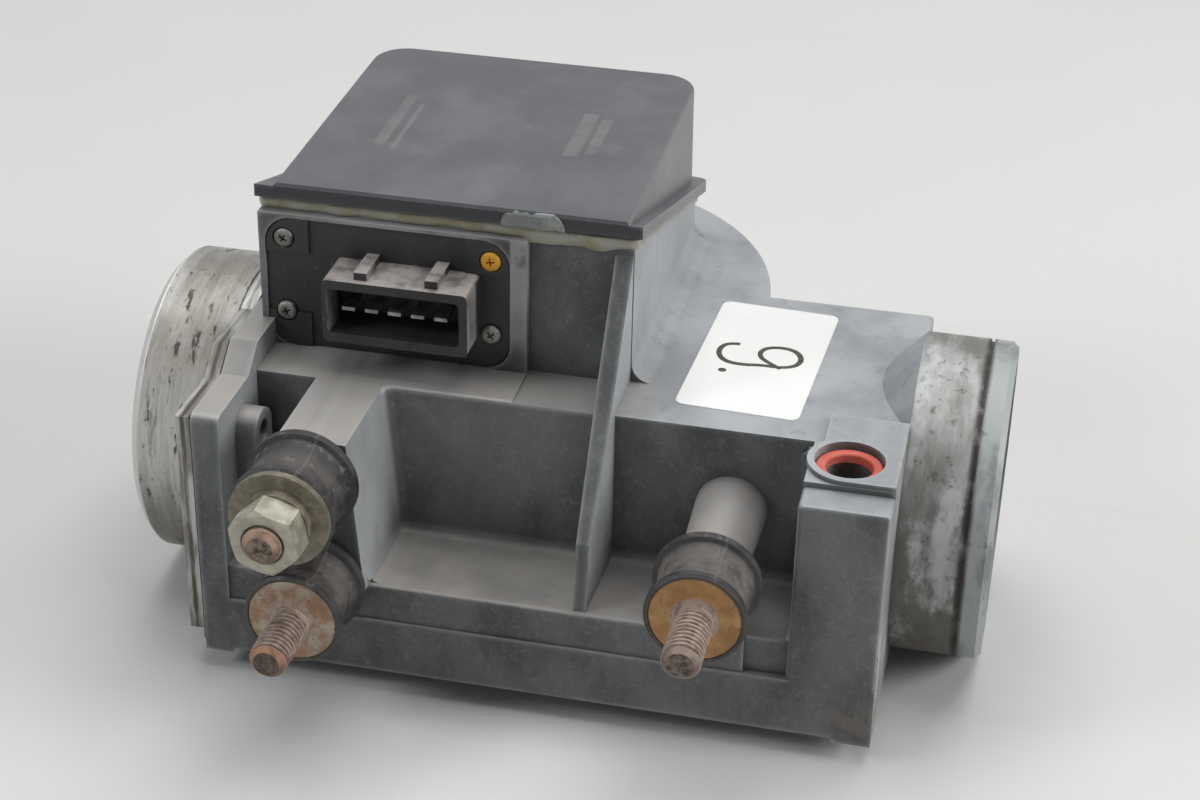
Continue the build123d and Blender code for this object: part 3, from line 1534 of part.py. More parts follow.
with BuildPart() as buffer_nut:
    with BuildSketch(Plane.XZ.offset(-nut_face)):
        with Locations(upper_buffer):
            RegularPolygon(nut_across_flats / 2, 6, major_radius=False, rotation=nut_turn)
    extrude(amount=nut_height)
    for face, inward in ((nut_face, 1), (nut_face - nut_height, -1)):
        with BuildSketch(Plane.XZ.offset(-face)):
            with Locations(upper_buffer):
                Circle(nut_across_flats / 2 - nut_face_step)
        extrude(amount=inward * nut_height, taper=-nut_chamfer_angle, mode=Mode.INTERSECT)
    with BuildSketch(Plane.XZ.offset(-nut_face)):
        with Locations(upper_buffer):
            Circle(stud_radius)
    extrude(amount=nut_height, mode=Mode.SUBTRACT)
    bore_edges = buffer_nut.edges().filter_by(GeomType.CIRCLE)
    chamfer(bore_edges.filter_by(lambda e: e.radius < stud_radius + 0.1), thread_chamfer)
write(buffer_nut, "buffer_nut")

# ---- Idle bypass ---------------------------------------------------------------------------------

bypass_place = (bypass_x, bypass_y)
seal_groove_radius = bypass_bore_radius - running_fit - 2 * seal_radius
seal_height = bypass_screw_top - seal_depth
bypass_cone_top = bypass_duct_z + bypass_thread_radius + 1.0
bypass_head_base = bypass_screw_top - bypass_head_length + seat_gap

with BuildPart() as bypass_ring:
    with BuildSketch(Plane.XY.offset(deck_height + pad_height - bypass_counterbore_depth)):
        with Locations(bypass_place):
            Circle(bypass_ring_radius)
            Circle(bypass_ring_hole, mode=Mode.SUBTRACT)
    extrude(amount=bypass_ring_thickness)
    fillet(bypass_ring.faces().sort_by(Axis.Z)[-1].edges(), small_fillet)
write(bypass_ring, "bypass_ring")

with BuildPart() as bypass_screw_seal:
    with BuildSketch(Plane.XZ.offset(-bypass_y)):
        with Locations((bypass_x + seal_groove_radius + seal_radius, seal_height)):
            Circle(seal_radius)
    revolve(axis=Axis((bypass_x, bypass_y, 0), (0, 0, 1)))
write(bypass_screw_seal, "bypass_screw_seal")

with BuildPart() as bypass_screw:
    with BuildSketch(Plane.XY.offset(bypass_head_base)):
        with Locations(bypass_place):
            Circle(bypass_bore_radius - running_fit)
    extrude(amount=bypass_screw_top - bypass_head_base)
    with BuildSketch(Plane.XY.offset(bypass_cone_top)):
        with Locations(bypass_place):
            Circle(bypass_thread_radius)
    extrude(amount=bypass_head_base - bypass_cone_top)
    with BuildSketch(Plane.XY.offset(bypass_cone_top)):
        with Locations(bypass_place):
            Circle(bypass_thread_radius)
    extrude(amount=-bypass_thread_radius, taper=bypass_cone_angle)
    with BuildSketch(Plane.XY.offset(seal_height - seal_radius - running_fit)):
        with Locations(bypass_place):
            Circle(bypass_bore_radius + 1.0)
            Circle(seal_groove_radius - running_fit, mode=Mode.SUBTRACT)
    extrude(amount=2 * (seal_radius + running_fit), mode=Mode.SUBTRACT)
    with BuildSketch(Plane.XY.offset(bypass_screw_top)):
        with Locations(bypass_place):
            Rectangle(2 * bypass_bore_radius, bypass_slot_width)
    extrude(amount=-bypass_slot_depth, mode=Mode.SUBTRACT)
write(bypass_screw, "bypass_screw")

# ---- Label on the deck ---------------------------------------------------------------------------

with BuildPart() as label:
    with BuildSketch(Plane.XY.offset(deck_height)):
        with Locations(Location((end_x - label_setback, label_y, 0), (0, 0, label_turn))):
            RectangleRounded(label_width, label_length, label_corner)
    extrude(amount=label_thickness)
write(label, "label")
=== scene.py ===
"""Looks of the vane air flow meter: finishes for every piece, and the fine pieces that carry them."""

import math

import bpy  # noqa: E402
from bpy.props import FloatProperty, FloatVectorProperty, PointerProperty  # noqa: E402
from mathutils import Matrix, Vector, noise  # noqa: E402


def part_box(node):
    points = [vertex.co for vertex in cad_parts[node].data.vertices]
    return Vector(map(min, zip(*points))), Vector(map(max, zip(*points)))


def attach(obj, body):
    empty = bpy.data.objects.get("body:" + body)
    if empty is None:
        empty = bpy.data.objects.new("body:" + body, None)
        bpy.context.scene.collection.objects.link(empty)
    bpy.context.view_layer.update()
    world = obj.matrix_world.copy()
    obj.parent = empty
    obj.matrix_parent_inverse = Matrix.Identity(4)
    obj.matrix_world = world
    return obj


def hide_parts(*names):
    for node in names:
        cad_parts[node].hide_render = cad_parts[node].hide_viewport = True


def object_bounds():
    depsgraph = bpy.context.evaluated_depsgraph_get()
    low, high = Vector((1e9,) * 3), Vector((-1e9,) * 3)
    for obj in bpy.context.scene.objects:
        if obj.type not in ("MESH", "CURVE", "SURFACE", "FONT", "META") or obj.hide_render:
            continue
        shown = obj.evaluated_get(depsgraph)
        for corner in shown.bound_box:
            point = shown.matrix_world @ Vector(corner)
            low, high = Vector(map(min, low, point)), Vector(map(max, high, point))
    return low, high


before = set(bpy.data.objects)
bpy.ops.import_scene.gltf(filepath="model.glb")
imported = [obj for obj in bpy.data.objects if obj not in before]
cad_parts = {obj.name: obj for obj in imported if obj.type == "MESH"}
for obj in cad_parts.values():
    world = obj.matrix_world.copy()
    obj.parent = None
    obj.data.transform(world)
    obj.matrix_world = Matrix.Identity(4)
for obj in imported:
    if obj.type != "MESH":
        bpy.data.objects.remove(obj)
cad_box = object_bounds()
object_low, object_high = (Vector(corner) for corner in cad_box)
sealant_low, sealant_high = (Vector(corner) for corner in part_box("cover_sealant"))
label_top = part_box("label")[1][2]

bl_info = {
    "name": "Vane air flow meter looks",
    "version": (1, 0, 0),
    "blender": (4, 5, 0),
    "location": "View3D > Sidebar > Air Meter",
    "description": "Dresses the packed air flow meter: finishes, threads, screw heads, bead, label and stage",
    "category": "Object",
}


# ---- Small helpers --------------------------------------------------------------------------------


def deselect():
    """Nothing selected and object mode, so that the next operator works on its own piece alone."""
    if bpy.context.object and bpy.context.object.mode != "OBJECT":
        bpy.ops.object.mode_set(mode="OBJECT")
    bpy.ops.object.select_all(action="DESELECT")


def pick(piece):
    """Select one piece alone and make it active."""
    deselect()
    piece.select_set(True)
    bpy.context.view_layer.objects.active = piece


def name_piece(name):
    """Name the active object and its mesh."""
    piece = bpy.context.object
    piece.name = name
    piece.data.name = name
    return piece


def settle(piece):
    """Put a finished piece's place into its mesh and leave its object at the origin."""
    pick(piece)
    bpy.ops.object.transform_apply(location=True, rotation=True, scale=True)


def apply_all(piece):
    """Apply every modifier of a piece."""
    pick(piece)
    for modifier in list(piece.modifiers):
        bpy.ops.object.modifier_apply(modifier=modifier.name)


def join_pieces(pieces, name):
    """Join pieces into one object."""
    deselect()
    for piece in pieces:
        piece.select_set(True)
    bpy.context.view_layer.objects.active = pieces[0]
    bpy.ops.object.join()
    return name_piece(name)


def close_up(piece):
    """Merge doubled points and turn the faces outwards."""
    pick(piece)
    bpy.ops.object.mode_set(mode="EDIT")
    bpy.ops.mesh.select_all(action="SELECT")
    bpy.ops.mesh.remove_doubles(threshold=1e-6)
    bpy.ops.mesh.normals_make_consistent(inside=False)
    bpy.ops.object.mode_set(mode="OBJECT")


def wrapped_grid(name, columns, rows, place):
    """A grid whose points are put in place by place(column, row)."""
    deselect()
    bpy.ops.mesh.primitive_grid_add(x_subdivisions=columns, y_subdivisions=rows, size=2.0)
    piece = name_piece(name)
    for vertex in piece.data.vertices:
        column = (vertex.co.x + 1.0) / 2.0 * columns
        row = round((vertex.co.y + 1.0) / 2.0 * rows)
        vertex.co = place(column, row)
    return piece


def rough_noise(point, scale):
    """Even noise from -1 to 1 at a point."""
    return noise.noise(Vector(point) * scale)


def placed_copy(piece, name, place, turned):
    """A copy of a piece with its own mesh, turned and moved to its place."""
    pick(piece)
    bpy.ops.object.duplicate(linked=False)
    copy = name_piece(name)
    copy.matrix_world = Matrix.Translation(place) @ turned
    settle(copy)
    return copy


def crossed_screw(name, head_radius, head_height, shank_radius, shank_length):
    """A pan head with a crossed recess on its shank, standing along Z with its seat at zero."""
    deselect()
    bpy.ops.mesh.primitive_cylinder_add(
        vertices=40, radius=head_radius, depth=head_height, location=(0, 0, head_height / 2)
    )
    head = name_piece(name)
    settle(head)
    for part in (head.data.vertices, head.data.edges, head.data.polygons):
        for item in part:
            item.select = False
    for edge in head.data.edges:
        edge.select = all(head.data.vertices[v].co.z > head_height * 0.9 for v in edge.vertices)
    bpy.ops.object.mode_set(mode="EDIT")
    bpy.ops.mesh.select_mode(type="EDGE")
    bpy.ops.mesh.bevel(offset=head_height * 0.55, segments=4, affect="EDGES")
    bpy.ops.object.mode_set(mode="OBJECT")
    for turn in (0.0, 90.0):
        deselect()
        bpy.ops.mesh.primitive_cube_add(
            size=1.0, location=(0, 0, head_height), rotation=(0, 0, math.radians(turn))
        )
        blade = name_piece("recess_cutter")
        blade.scale = (head_radius * 1.32, head_radius * 0.3, head_height * 1.3)
        settle(blade)
        for vertex in blade.data.vertices:
            if vertex.co.z < head_height:
                vertex.co.x *= 0.35
                vertex.co.y *= 0.35
        cut = head.modifiers.new("recess", "BOOLEAN")
        cut.operation = "DIFFERENCE"
        cut.solver = "EXACT"
        cut.object = blade
        apply_all(head)
        bpy.data.objects.remove(blade)
    deselect()
    bpy.ops.mesh.primitive_cylinder_add(
        vertices=24, radius=shank_radius, depth=shank_length, location=(0, 0, 0.0001 - shank_length / 2)
    )
    shank = name_piece(name + "_shank")
    settle(shank)
    whole = join_pieces([head, shank], name)
    smooth(whole, 40.0)
    return whole


def smooth(piece, degrees=35.0):
    """Shade a piece smooth but for its sharp edges."""
    pick(piece)
    bpy.ops.object.shade_smooth_by_angle(angle=math.radians(degrees))


def finish_of(node, material):
    """Give a CAD node its finish."""
    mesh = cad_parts[node].data
    mesh.materials.clear()
    mesh.materials.append(material)


# ---- Node helpers for the finishes ----------------------------------------------------------------


class Nodes:
    """A node tree under construction."""

    def __init__(self, tree):
        self.tree = tree

    def add(self, kind, **inputs):
        """A node with its inputs fed, an underscore standing for a blank in their names."""
        node = self.tree.nodes.new("ShaderNode" + kind)
        for name, value in inputs.items():
            self.feed(value, node.inputs[name.replace("_", " ")])
        return node

    def link(self, source, target):
        self.tree.links.new(source, target)

    def feed(self, value, socket):
        """Give a socket a number, a vector, a colour or another socket's output."""
        if isinstance(value, tuple):
            socket.default_value = (*value, 1.0)[: len(socket.default_value)]
        elif isinstance(value, (int, float)):
            socket.default_value = value
        else:
            self.link(value, socket)

    def math(self, operation, *values, kind="Math", output="Value"):
        """One sum on numbers, vectors or sockets."""
        node = self.add(kind)
        node.operation = operation
        for value, socket in zip(values, node.inputs):
            self.feed(value, socket)
        return node.outputs[output]


class Finish(Nodes):
    """A procedural material under construction, on Object coordinates."""

    def __init__(self, name):
        self.material = bpy.data.materials.new(name)
        self.material.use_nodes = True
        super().__init__(self.material.node_tree)
        self.shader = self.tree.nodes["Principled BSDF"]
        self.coordinates = self.add("TexCoord").outputs["Object"]
        self.skin = None
        self.bump = None

    def noise(self, scale, detail=4.0, roughness=0.55, vector=None):
        """Noise in spots of about 1/scale metres."""
        place = vector or self.coordinates
        node = self.add("TexNoise", Scale=scale, Detail=detail, Roughness=roughness, Vector=place)
        return node.outputs["Fac"]

    def streaks(self, scale, detail, roughness, turn=(0.0, 0.0, 0.0)):
        """Noise with a scale of its own along each axis."""
        mapping = self.add("Mapping", Scale=scale, Rotation=turn, Vector=self.coordinates)
        return self.noise(1.0, detail, roughness, mapping.outputs["Vector"])

    def cells(self, scale, feature="F1"):
        """Distance to scattered points, or to the edges between them."""
        node = self.add("TexVoronoi", Scale=scale, Vector=self.coordinates)
        node.feature = feature
        return node.outputs["Distance"]

    def ramp(self, value, low, high, start=0.0, end=1.0):
        """Value mapped from low..high to start..end, and held there."""
        node = self.add("MapRange", Value=value, From_Min=low, From_Max=high, To_Min=start, To_Max=end)
        node.interpolation_type = "SMOOTHSTEP"
        return node.outputs["Result"]

    def along(self, axis, vector=None):
        """One object coordinate, in metres, or another vector's part along the axis."""
        return self.add("SeparateXYZ", Vector=vector or self.coordinates).outputs[axis]

    def past(self, axis, low, high, start=0.0, end=1.0):
        """One past a coordinate of an axis, from low to high."""
        return self.ramp(self.along(axis), low, high, start, end)

    def faces(self, axis, low, high, start=0.0, end=1.0):
        """One where the surface faces along an axis, by its normal's part there."""
        normal = self.add("NewGeometry").outputs["Normal"]
        return self.ramp(self.along(axis, normal), low, high, start, end)

    def band(self, axis, low, high, soft):
        """One between two coordinates of an axis, fading over a soft width."""
        return self.both(self.past(axis, low - soft, low), self.past(axis, high + soft, high))

    def near(self, point, radius):
        """One at a point, fading to nothing at a radius."""
        distance = self.math("DISTANCE", self.coordinates, point, kind="VectorMath")
        return self.ramp(distance, radius, radius * 0.25)

    def corners(self, distance, inside=False):
        """One in the open, less in inner corners, or less at sharp outer edges when looking inside."""
        node = self.add("AmbientOcclusion", Distance=distance)
        node.samples = 4
        node.inside = inside
        node.only_local = True
        return node.outputs["AO"]

    def from_axis(self, axis, point=(0.0, 0.0, 0.0)):
        """Distance from a line along an axis through a point."""
        mask = tuple(0.0 if name == axis else 1.0 for name in "XYZ")
        shift = tuple(-p * m for p, m in zip(point, mask))
        flat = self.math("MULTIPLY_ADD", self.coordinates, mask, shift, kind="VectorMath", output="Vector")
        return self.math("LENGTH", flat, kind="VectorMath")

    def both(self, mask, *others):
        """Masks and strengths multiplied: where all of them meet."""
        for other in others:
            mask = self.math("MULTIPLY", mask, other)
        return mask

    def painted(self, name):
        """A value painted on the piece's own points."""
        node = self.add("Attribute")
        node.attribute_name = name
        return node.outputs["Fac"]

    def mix(self, amount, first, second):
        """One colour over another by an amount."""
        node = self.add("Mix")
        node.data_type = "RGBA"
        under, top = (socket for socket in node.inputs if socket.type == "RGBA")
        self.feed(amount, node.inputs["Factor"])
        self.feed(first, under)
        self.feed(second, top)
        return next(socket for socket in node.outputs if socket.type == "RGBA")

    def layered(self, colour, *layers):
        """A colour under layers, each a colour and its masks."""
        for over, *masks in layers:
            colour = self.mix(self.both(*masks), colour, over)
        return colour

    def over(self, colour, *masks):
        """Lay a colour over the skin where its masks meet."""
        self.skin = self.layered(self.skin, (colour, *masks))

    def rough(self, value, low=None, high=None):
        """The shader's roughness: a number, or a pattern from low to high."""
        if low is not None:
            value = self.ramp(value, 0.3, 0.7, low, high)
        self.feed(value, self.shader.inputs["Roughness"])

    def metal(self, value):
        """How much of the surface is bare metal."""
        self.feed(value, self.shader.inputs["Metallic"])

    def relief(self, height, depth, strength=1.0):
        """Bump of a depth in metres, on top of the reliefs before it."""
        node = self.add("Bump", Distance=depth, Strength=strength, Height=height)
        if self.bump:
            self.link(self.bump, node.inputs["Normal"])
        self.bump = node.outputs["Normal"]

    def finished(self):
        """The material, with its skin and relief on the shader."""
        self.feed(self.skin, self.shader.inputs["Base Color"])
        if self.bump:
            self.link(self.bump, self.shader.inputs["Normal"])
        return self.material


# ---- Finishes ---------------------------------------------------------------------------------------

# Places on the castings that their finishes follow, in metres
boss_axis = (0.1317, 0.0, 0.0082)
boss_radius = 0.0108
plug_side = (0.0813, 0.0842)
post_foot = (0.163, -0.054, -0.024)
spigot_start = (0.1655, 0.1668)
spigot_groove = (0.1796, 0.1803)
spigot_bead = (0.1808, 0.1816)
duct_x, duct_y, duct_z = (0.0232, 0.15), (-0.0268, 0.0268), (-0.0238, 0.0225)
spigot_bore_x = (0.1668, 0.1846)
bore_radius = 0.0303
mouth_highlight = (0.0021, 0.0017)
ring_plate = (0.019, 0.0194)
ring_joint = (0.0204, 0.021)
# Two pairs of faint bars on the cover, where paint has worn off: left, right, front and back
faint_bars = (
    (0.044, 0.0462, 0.008, 0.034),
    (0.0482, 0.049, 0.006, 0.03),
    (0.085, 0.088, 0.012, 0.034),
    (0.0895, 0.0917, 0.014, 0.032),
)


def cast_aluminium(colours):
    """Sand-cast aluminium: blue-grey on top, darker in front by painted shade, painted light on faces turned
    to +X, pale edges of wear and painted highlight, painted shade in inner corners, brown dust on the
    shelves, stained spigot.
    """
    f = Finish("cast_aluminium")
    blotch = f.noise(46.0, 6.0, 0.62)
    cloud = f.noise(17.0, 4.0, 0.55)
    grain = f.noise(1100.0, 3.0, 0.6)
    up = f.faces("Z", 0.55, 0.9)
    front = f.faces("Y", -0.3, -0.8)
    right = f.faces("X", 0.5, 0.9)
    smudge = f.streaks((70.0, 70.0, 34.0), 5.0, 0.6)
    pale = tuple(colours.casting_pale_and_lit)
    f.skin = f.mix(f.ramp(blotch, 0.34, 0.66), tuple(colours.casting_dark), tuple(colours.casting))
    fleck = f.ramp(f.noise(330.0, 6.0, 0.68), 0.54, 0.7, 0.0, 0.3)
    # Painted shade: a darker skin, mottled with smudges and flecks, laid over the front faces for the shade
    # they stand in
    dark = f.layered(
        f.mix(f.ramp(smudge, 0.36, 0.64), (0.045, 0.046, 0.046), (0.112, 0.116, 0.116)),
        ((0.18, 0.186, 0.186), f.ramp(cloud, 0.5, 0.68, 0.0, 0.5)),
        ((0.27, 0.278, 0.278), fleck, f.ramp(blotch, 0.35, 0.6, 0.2, 1.0)),
    )
    f.over(dark, front, 0.92)
    # Painted light: faces turned to +X take the pale colour, as if lit from the right
    f.over(pale, right, 0.45)
    f.over((0.085, 0.088, 0.09), f.ramp(f.noise(150.0, 6.0, 0.7), 0.56, 0.74, 0.0, 0.45))
    f.over(pale, f.ramp(grain, 0.5, 0.76, 0.0, 0.14))
    # Painted shade: darker in inner corners, where the surface is closed in
    f.over((0.06, 0.058, 0.054), f.ramp(f.corners(0.007), 0.8, 0.45), 0.55)
    # Dust: thick on the shelves, thin on the deck's front, the arm and the boss, washed up the pocket walls
    uneven = f.ramp(f.noise(95.0, 5.0, 0.6), 0.28, 0.6, 0.45, 1.0)
    shelf = f.both(up, f.past("Z", 0.022, 0.008), uneven)
    f.over(tuple(colours.dust), shelf, 0.9)
    deck_front = f.both(up, f.past("Y", -0.006, -0.02), f.past("X", 0.122, 0.1))
    f.over((0.37, 0.352, 0.332), deck_front, uneven, 0.95)
    round_boss = f.ramp(f.from_axis("Y", boss_axis), boss_radius, boss_radius - 0.0012)
    f.over((0.36, 0.335, 0.31), round_boss, f.past("Y", -0.0312, -0.0335), uneven, 0.9)
    wash = f.both(front, f.past("Z", 0.004, -0.008), f.past("Y", -0.05, -0.04))
    f.over((0.15, 0.138, 0.126), wash, uneven, 0.5)
    f.over((0.19, 0.188, 0.182), front, f.past("Z", -0.02, -0.029), f.ramp(cloud, 0.4, 0.62), 0.45)
    # Dried sealant beside the plug's plate, and the rust mark at the foot of the post
    beside = f.both(f.band("X", *plug_side, 0.0006), f.past("Z", 0.03, 0.036), front)
    f.over((0.36, 0.365, 0.355), beside, f.ramp(f.noise(240.0, 5.0, 0.6), 0.34, 0.54, 0.2, 0.75))
    f.over((0.22, 0.18, 0.145), f.near(post_foot, 0.01), f.ramp(f.noise(200.0, 5.0, 0.6), 0.42, 0.6), 0.45)
    # Pale sharp outer edges: partly rubbed wear, partly painted highlight
    edge_wear_and_highlight = f.ramp(f.noise(120.0, 5.0, 0.6), 0.3, 0.55, 0.35, 1.0)
    f.over(pale, f.ramp(f.corners(0.0011, True), 0.85, 0.55), edge_wear_and_highlight, 0.55)
    # Outlet spigot: pale metal with brown stains where the hose sat, a dirty groove and a clean bead
    stain = f.streaks((105.0, 62.0, 56.0), 6.0, 0.66)
    run = f.streaks((170.0, 45.0, 45.0), 4.0, 0.6)
    pitted = f.streaks((420.0, 380.0, 380.0), 5.0, 0.7)
    lower = f.past("Z", 0.026, 0.004)
    groove = f.streaks((120.0, 210.0, 210.0), 3.0, 0.5)
    line = f.both(f.band("X", *spigot_groove, 0.0009), f.ramp(groove, 0.3, 0.52, 0.25, 1.0))
    bead = f.both(f.past("X", *spigot_bead), f.ramp(pitted, 0.74, 0.6, 0.35, 1.0))
    clean = f.mix(f.ramp(stain, 0.5, 0.7), (0.36, 0.385, 0.39), (0.22, 0.235, 0.235))
    tube = f.layered(
        f.mix(f.ramp(run, 0.34, 0.66), (0.215, 0.212, 0.202), (0.5, 0.512, 0.512)),
        # The brown stains grow stronger towards the bottom of the tube
        ((0.092, 0.082, 0.068), f.ramp(stain, 0.36, 0.54), f.ramp(lower, 0.0, 1.0, 0.45, 1.0), 0.85),
        ((0.075, 0.064, 0.052), f.ramp(pitted, 0.55, 0.68, 0.0, 0.7)),
        ((0.03, 0.028, 0.026), line, 0.92),
        (clean, bead),
    )
    f.over(tube, f.past("X", *spigot_start))
    # Darker inside the duct and the spigot's bore
    channel = f.both(f.band("Y", *duct_y, 0.0006), f.band("Z", *duct_z, 0.0006), f.band("X", *duct_x, 0.0006))
    round_bore = f.ramp(f.from_axis("X"), bore_radius + 0.0009, bore_radius)
    bore = f.both(round_bore, f.band("X", *spigot_bore_x, 0.0004))
    f.over((0.055, 0.05, 0.045), f.math("MAXIMUM", channel, bore), 0.85)
    f.rough(blotch, 0.46, 0.62)
    f.metal(f.both(f.math("SUBTRACT", 1.0, shelf), 0.26))
    f.relief(grain, 0.0001, 0.4)
    f.relief(f.cells(560.0), 0.00006, 0.2)
    f.relief(blotch, 0.0003, 0.2)
    return f.finished()


def turned_aluminium(colours):
    """Turned aluminium: fine rings round the duct, black pits, long streaks of dirt, painted shade towards
    the bottom and a painted highlight on the bright mouth.
    """
    f = Finish("turned_aluminium")
    rings = f.streaks((2600.0, 30.0, 30.0), 3.0, 0.6)
    streak = f.streaks((240.0, 34.0, 34.0), 5.0, 0.62)
    pits = f.streaks((430.0, 120.0, 120.0), 5.0, 0.68)
    specks = f.streaks((900.0, 420.0, 420.0), 4.0, 0.6)
    top = f.both(f.faces("Z", 0.25, 0.75), f.ramp(f.noise(40.0, 5.0, 0.62), 0.32, 0.56, 0.35, 1.0))
    f.skin = f.mix(f.ramp(streak, 0.34, 0.62), (0.3, 0.29, 0.27), tuple(colours.turned))
    f.over((0.225, 0.205, 0.175), top, 0.8)
    # Painted shade: darker towards the bottom of the ring
    f.over((0.15, 0.143, 0.126), f.past("Z", 0.006, -0.022), 0.72)
    f.over((0.12, 0.108, 0.09), f.ramp(streak, 0.58, 0.68, 0.0, 0.65))
    f.over((0.11, 0.098, 0.082), f.ramp(specks, 0.6, 0.7, 0.0, 0.6))
    f.over((0.036, 0.032, 0.028), f.ramp(pits, 0.57, 0.64, 0.0, 0.92))
    # Painted highlight: a bright band at the mouth's edge
    f.over((0.66, 0.66, 0.64), f.past("X", *mouth_highlight), 0.85)
    # The plate: bright rubbed edges with brown dirt in the joint line
    rim_noise = f.streaks((420.0, 60.0, 60.0), 5.0, 0.62)
    rim_skin = f.layered(
        f.mix(f.ramp(rim_noise, 0.38, 0.6), (0.2, 0.185, 0.16), (0.5, 0.5, 0.48)),
        ((0.06, 0.052, 0.042), f.band("X", *ring_joint, 0.0003), f.ramp(rim_noise, 0.62, 0.42, 0.35, 0.95)),
    )
    f.over(rim_skin, f.past("X", *ring_plate), f.faces("X", -0.6, -0.2), 0.9)
    f.rough(streak, 0.32, 0.5)
    f.metal(f.ramp(pits, 0.57, 0.66, 0.6, 0.1))
    f.relief(rings, 0.00005, 0.5)
    f.relief(pits, -0.00014, 0.7)
    return f.finished()


def plain_metal(name, base, dark, roughness, metallic=0.85, spots=300.0):
    """Small metal parts: a plated or turned surface with fine mottling."""
    f = Finish(name)
    mottle = f.noise(spots, 5.0, 0.62)
    scratch = f.streaks((400.0, 2600.0, 900.0), 2.0, 0.5)
    f.skin = f.mix(f.ramp(mottle, 0.38, 0.68), dark, base)
    f.rough(mottle, roughness - 0.08, roughness + 0.12)
    f.metal(metallic)
    f.relief(scratch, 0.00003, 0.35)
    f.relief(mottle, 0.00005, 0.4)
    return f.finished()


def rusty_thread(name, crest, root, shoulder, end, end_at):
    """Rusted steel thread: brown scale in the roots, pinkish worn crests, a bare shoulder and a dark end."""
    f = Finish(name)
    scale = f.noise(700.0, 6.0, 0.65)
    patch = f.noise(230.0, 5.0, 0.6)
    worn = f.both(f.ramp(f.painted("crest"), 0.25, 0.85), f.ramp(scale, 0.32, 0.6, 0.45, 1.0))
    f.skin = f.mix(worn, root, crest)
    f.over((0.115, 0.07, 0.05), f.ramp(patch, 0.54, 0.68, 0.0, 0.7))
    last = f.past("Y", end_at + 0.0017, end_at + 0.0013)
    upper = f.faces("Z", -0.25, 0.35, 0.3, 1.0)
    f.over(shoulder, last, upper, f.ramp(patch, 0.36, 0.54, 0.45, 1.0))
    dark_end = f.mix(f.ramp(scale, 0.38, 0.62), end, (0.065, 0.05, 0.042))
    f.over(dark_end, last, f.faces("Y", -0.88, -0.96))
    f.rough(scale, 0.5, 0.75)
    f.metal(0.25)
    f.relief(scale, 0.0001, 0.6)
    return f.finished()


def stained_disc(name, base, stain, dark):
    """Bonded steel disc: old passivation under rust that has run from the stud."""
    f = Finish(name)
    run = f.noise(260.0, 6.0, 0.65)
    flake = f.noise(620.0, 5.0, 0.6)
    f.skin = f.mix(f.ramp(run, 0.38, 0.6), base, stain)
    f.over(dark, f.ramp(flake, 0.6, 0.7, 0.0, 0.8))
    f.rough(run, 0.45, 0.68)
    f.metal(0.2)
    f.relief(flake, 0.00008, 0.5)
    f.relief(run, 0.0001, 0.3)
    return f.finished()


def moulded_plastic(name, base, worn, roughness=0.42, grain_size=1400.0, dust=None, dust_from=0.0):
    """Moulded plastic: fine grain and wear, with dust on what faces up from a height on, and the dust colour
    on front faces turned to +X, partly dust and partly painted light.
    """
    f = Finish(name)
    grain = f.noise(grain_size, 2.0, 0.5)
    wear = f.noise(60.0, 5.0, 0.62)
    f.skin = f.mix(f.ramp(wear, 0.4, 0.7, 0.0, 0.7), base, worn)
    if dust:
        uneven = f.ramp(f.noise(210.0, 5.0, 0.6), 0.32, 0.58, 0.35, 1.0)
        above = f.both(f.faces("Z", 0.3, 0.9), f.past("Z", dust_from - 0.001, dust_from))
        # Faces turned to +X in front take the dust colour: partly dust, partly painted light from the right
        side_dust_and_light = f.both(f.faces("X", 0.3, 0.9), f.past("Y", -0.02, -0.022), 0.6)
        f.over(dust, f.math("MAXIMUM", above, side_dust_and_light), uneven)
        f.over(dust, f.ramp(f.noise(900.0, 3.0, 0.6), 0.64, 0.76, 0.0, 0.25))
    f.rough(wear, roughness, roughness + 0.14)
    f.relief(grain, 0.00004, 0.4)
    f.relief(wear, 0.00012, 0.2)
    return f.finished()


def cover_plastic(colours):
    """Satin slate plastic of the cover: dusty bloom on its slopes, painted light on faces turned to +X, a rim
    made black in front by painted shade, painted highlight on sharp edges and faint bars of old paint.
    """
    f = Finish("cover_plastic")
    grain = f.noise(1500.0, 2.0, 0.5)
    bloom = f.noise(30.0, 6.0, 0.65)
    f.skin = f.mix(f.ramp(bloom, 0.36, 0.64), tuple(colours.cover), (0.112, 0.116, 0.126))
    f.over((0.15, 0.148, 0.15), f.ramp(f.noise(75.0, 5.0, 0.6), 0.52, 0.72, 0.0, 0.5))
    # Painted light: faces turned to +X are lighter, as if lit from the right
    f.over((0.16, 0.158, 0.158), f.faces("X", 0.35, 0.85), 0.8)
    # Painted shade: the front faces of the rim are made near black
    f.over((0.022, 0.024, 0.027), f.faces("Y", -0.3, -0.8), 0.85)
    f.over((0.22, 0.215, 0.21), f.ramp(f.noise(520.0, 4.0, 0.6), 0.66, 0.74, 0.0, 0.35))
    top = f.faces("Z", 0.9, 0.98)
    worn_off = f.ramp(f.noise(70.0, 3.0, 0.5), 0.3, 0.62, 0.06, 0.3)
    for left, right, front, back in faint_bars:
        bar = f.both(f.band("X", left, right, 0.0003), f.band("Y", front, back, 0.0008))
        f.over((0.3, 0.275, 0.25), bar, top, worn_off)
    # Painted highlight: lighter along the sharp outer edges
    f.over((0.22, 0.225, 0.235), f.ramp(f.corners(0.001, True), 0.85, 0.55), 0.35)
    f.rough(bloom, 0.36, 0.5)
    f.relief(grain, 0.00003, 0.4)
    f.relief(bloom, 0.00012, 0.2)
    return f.finished()


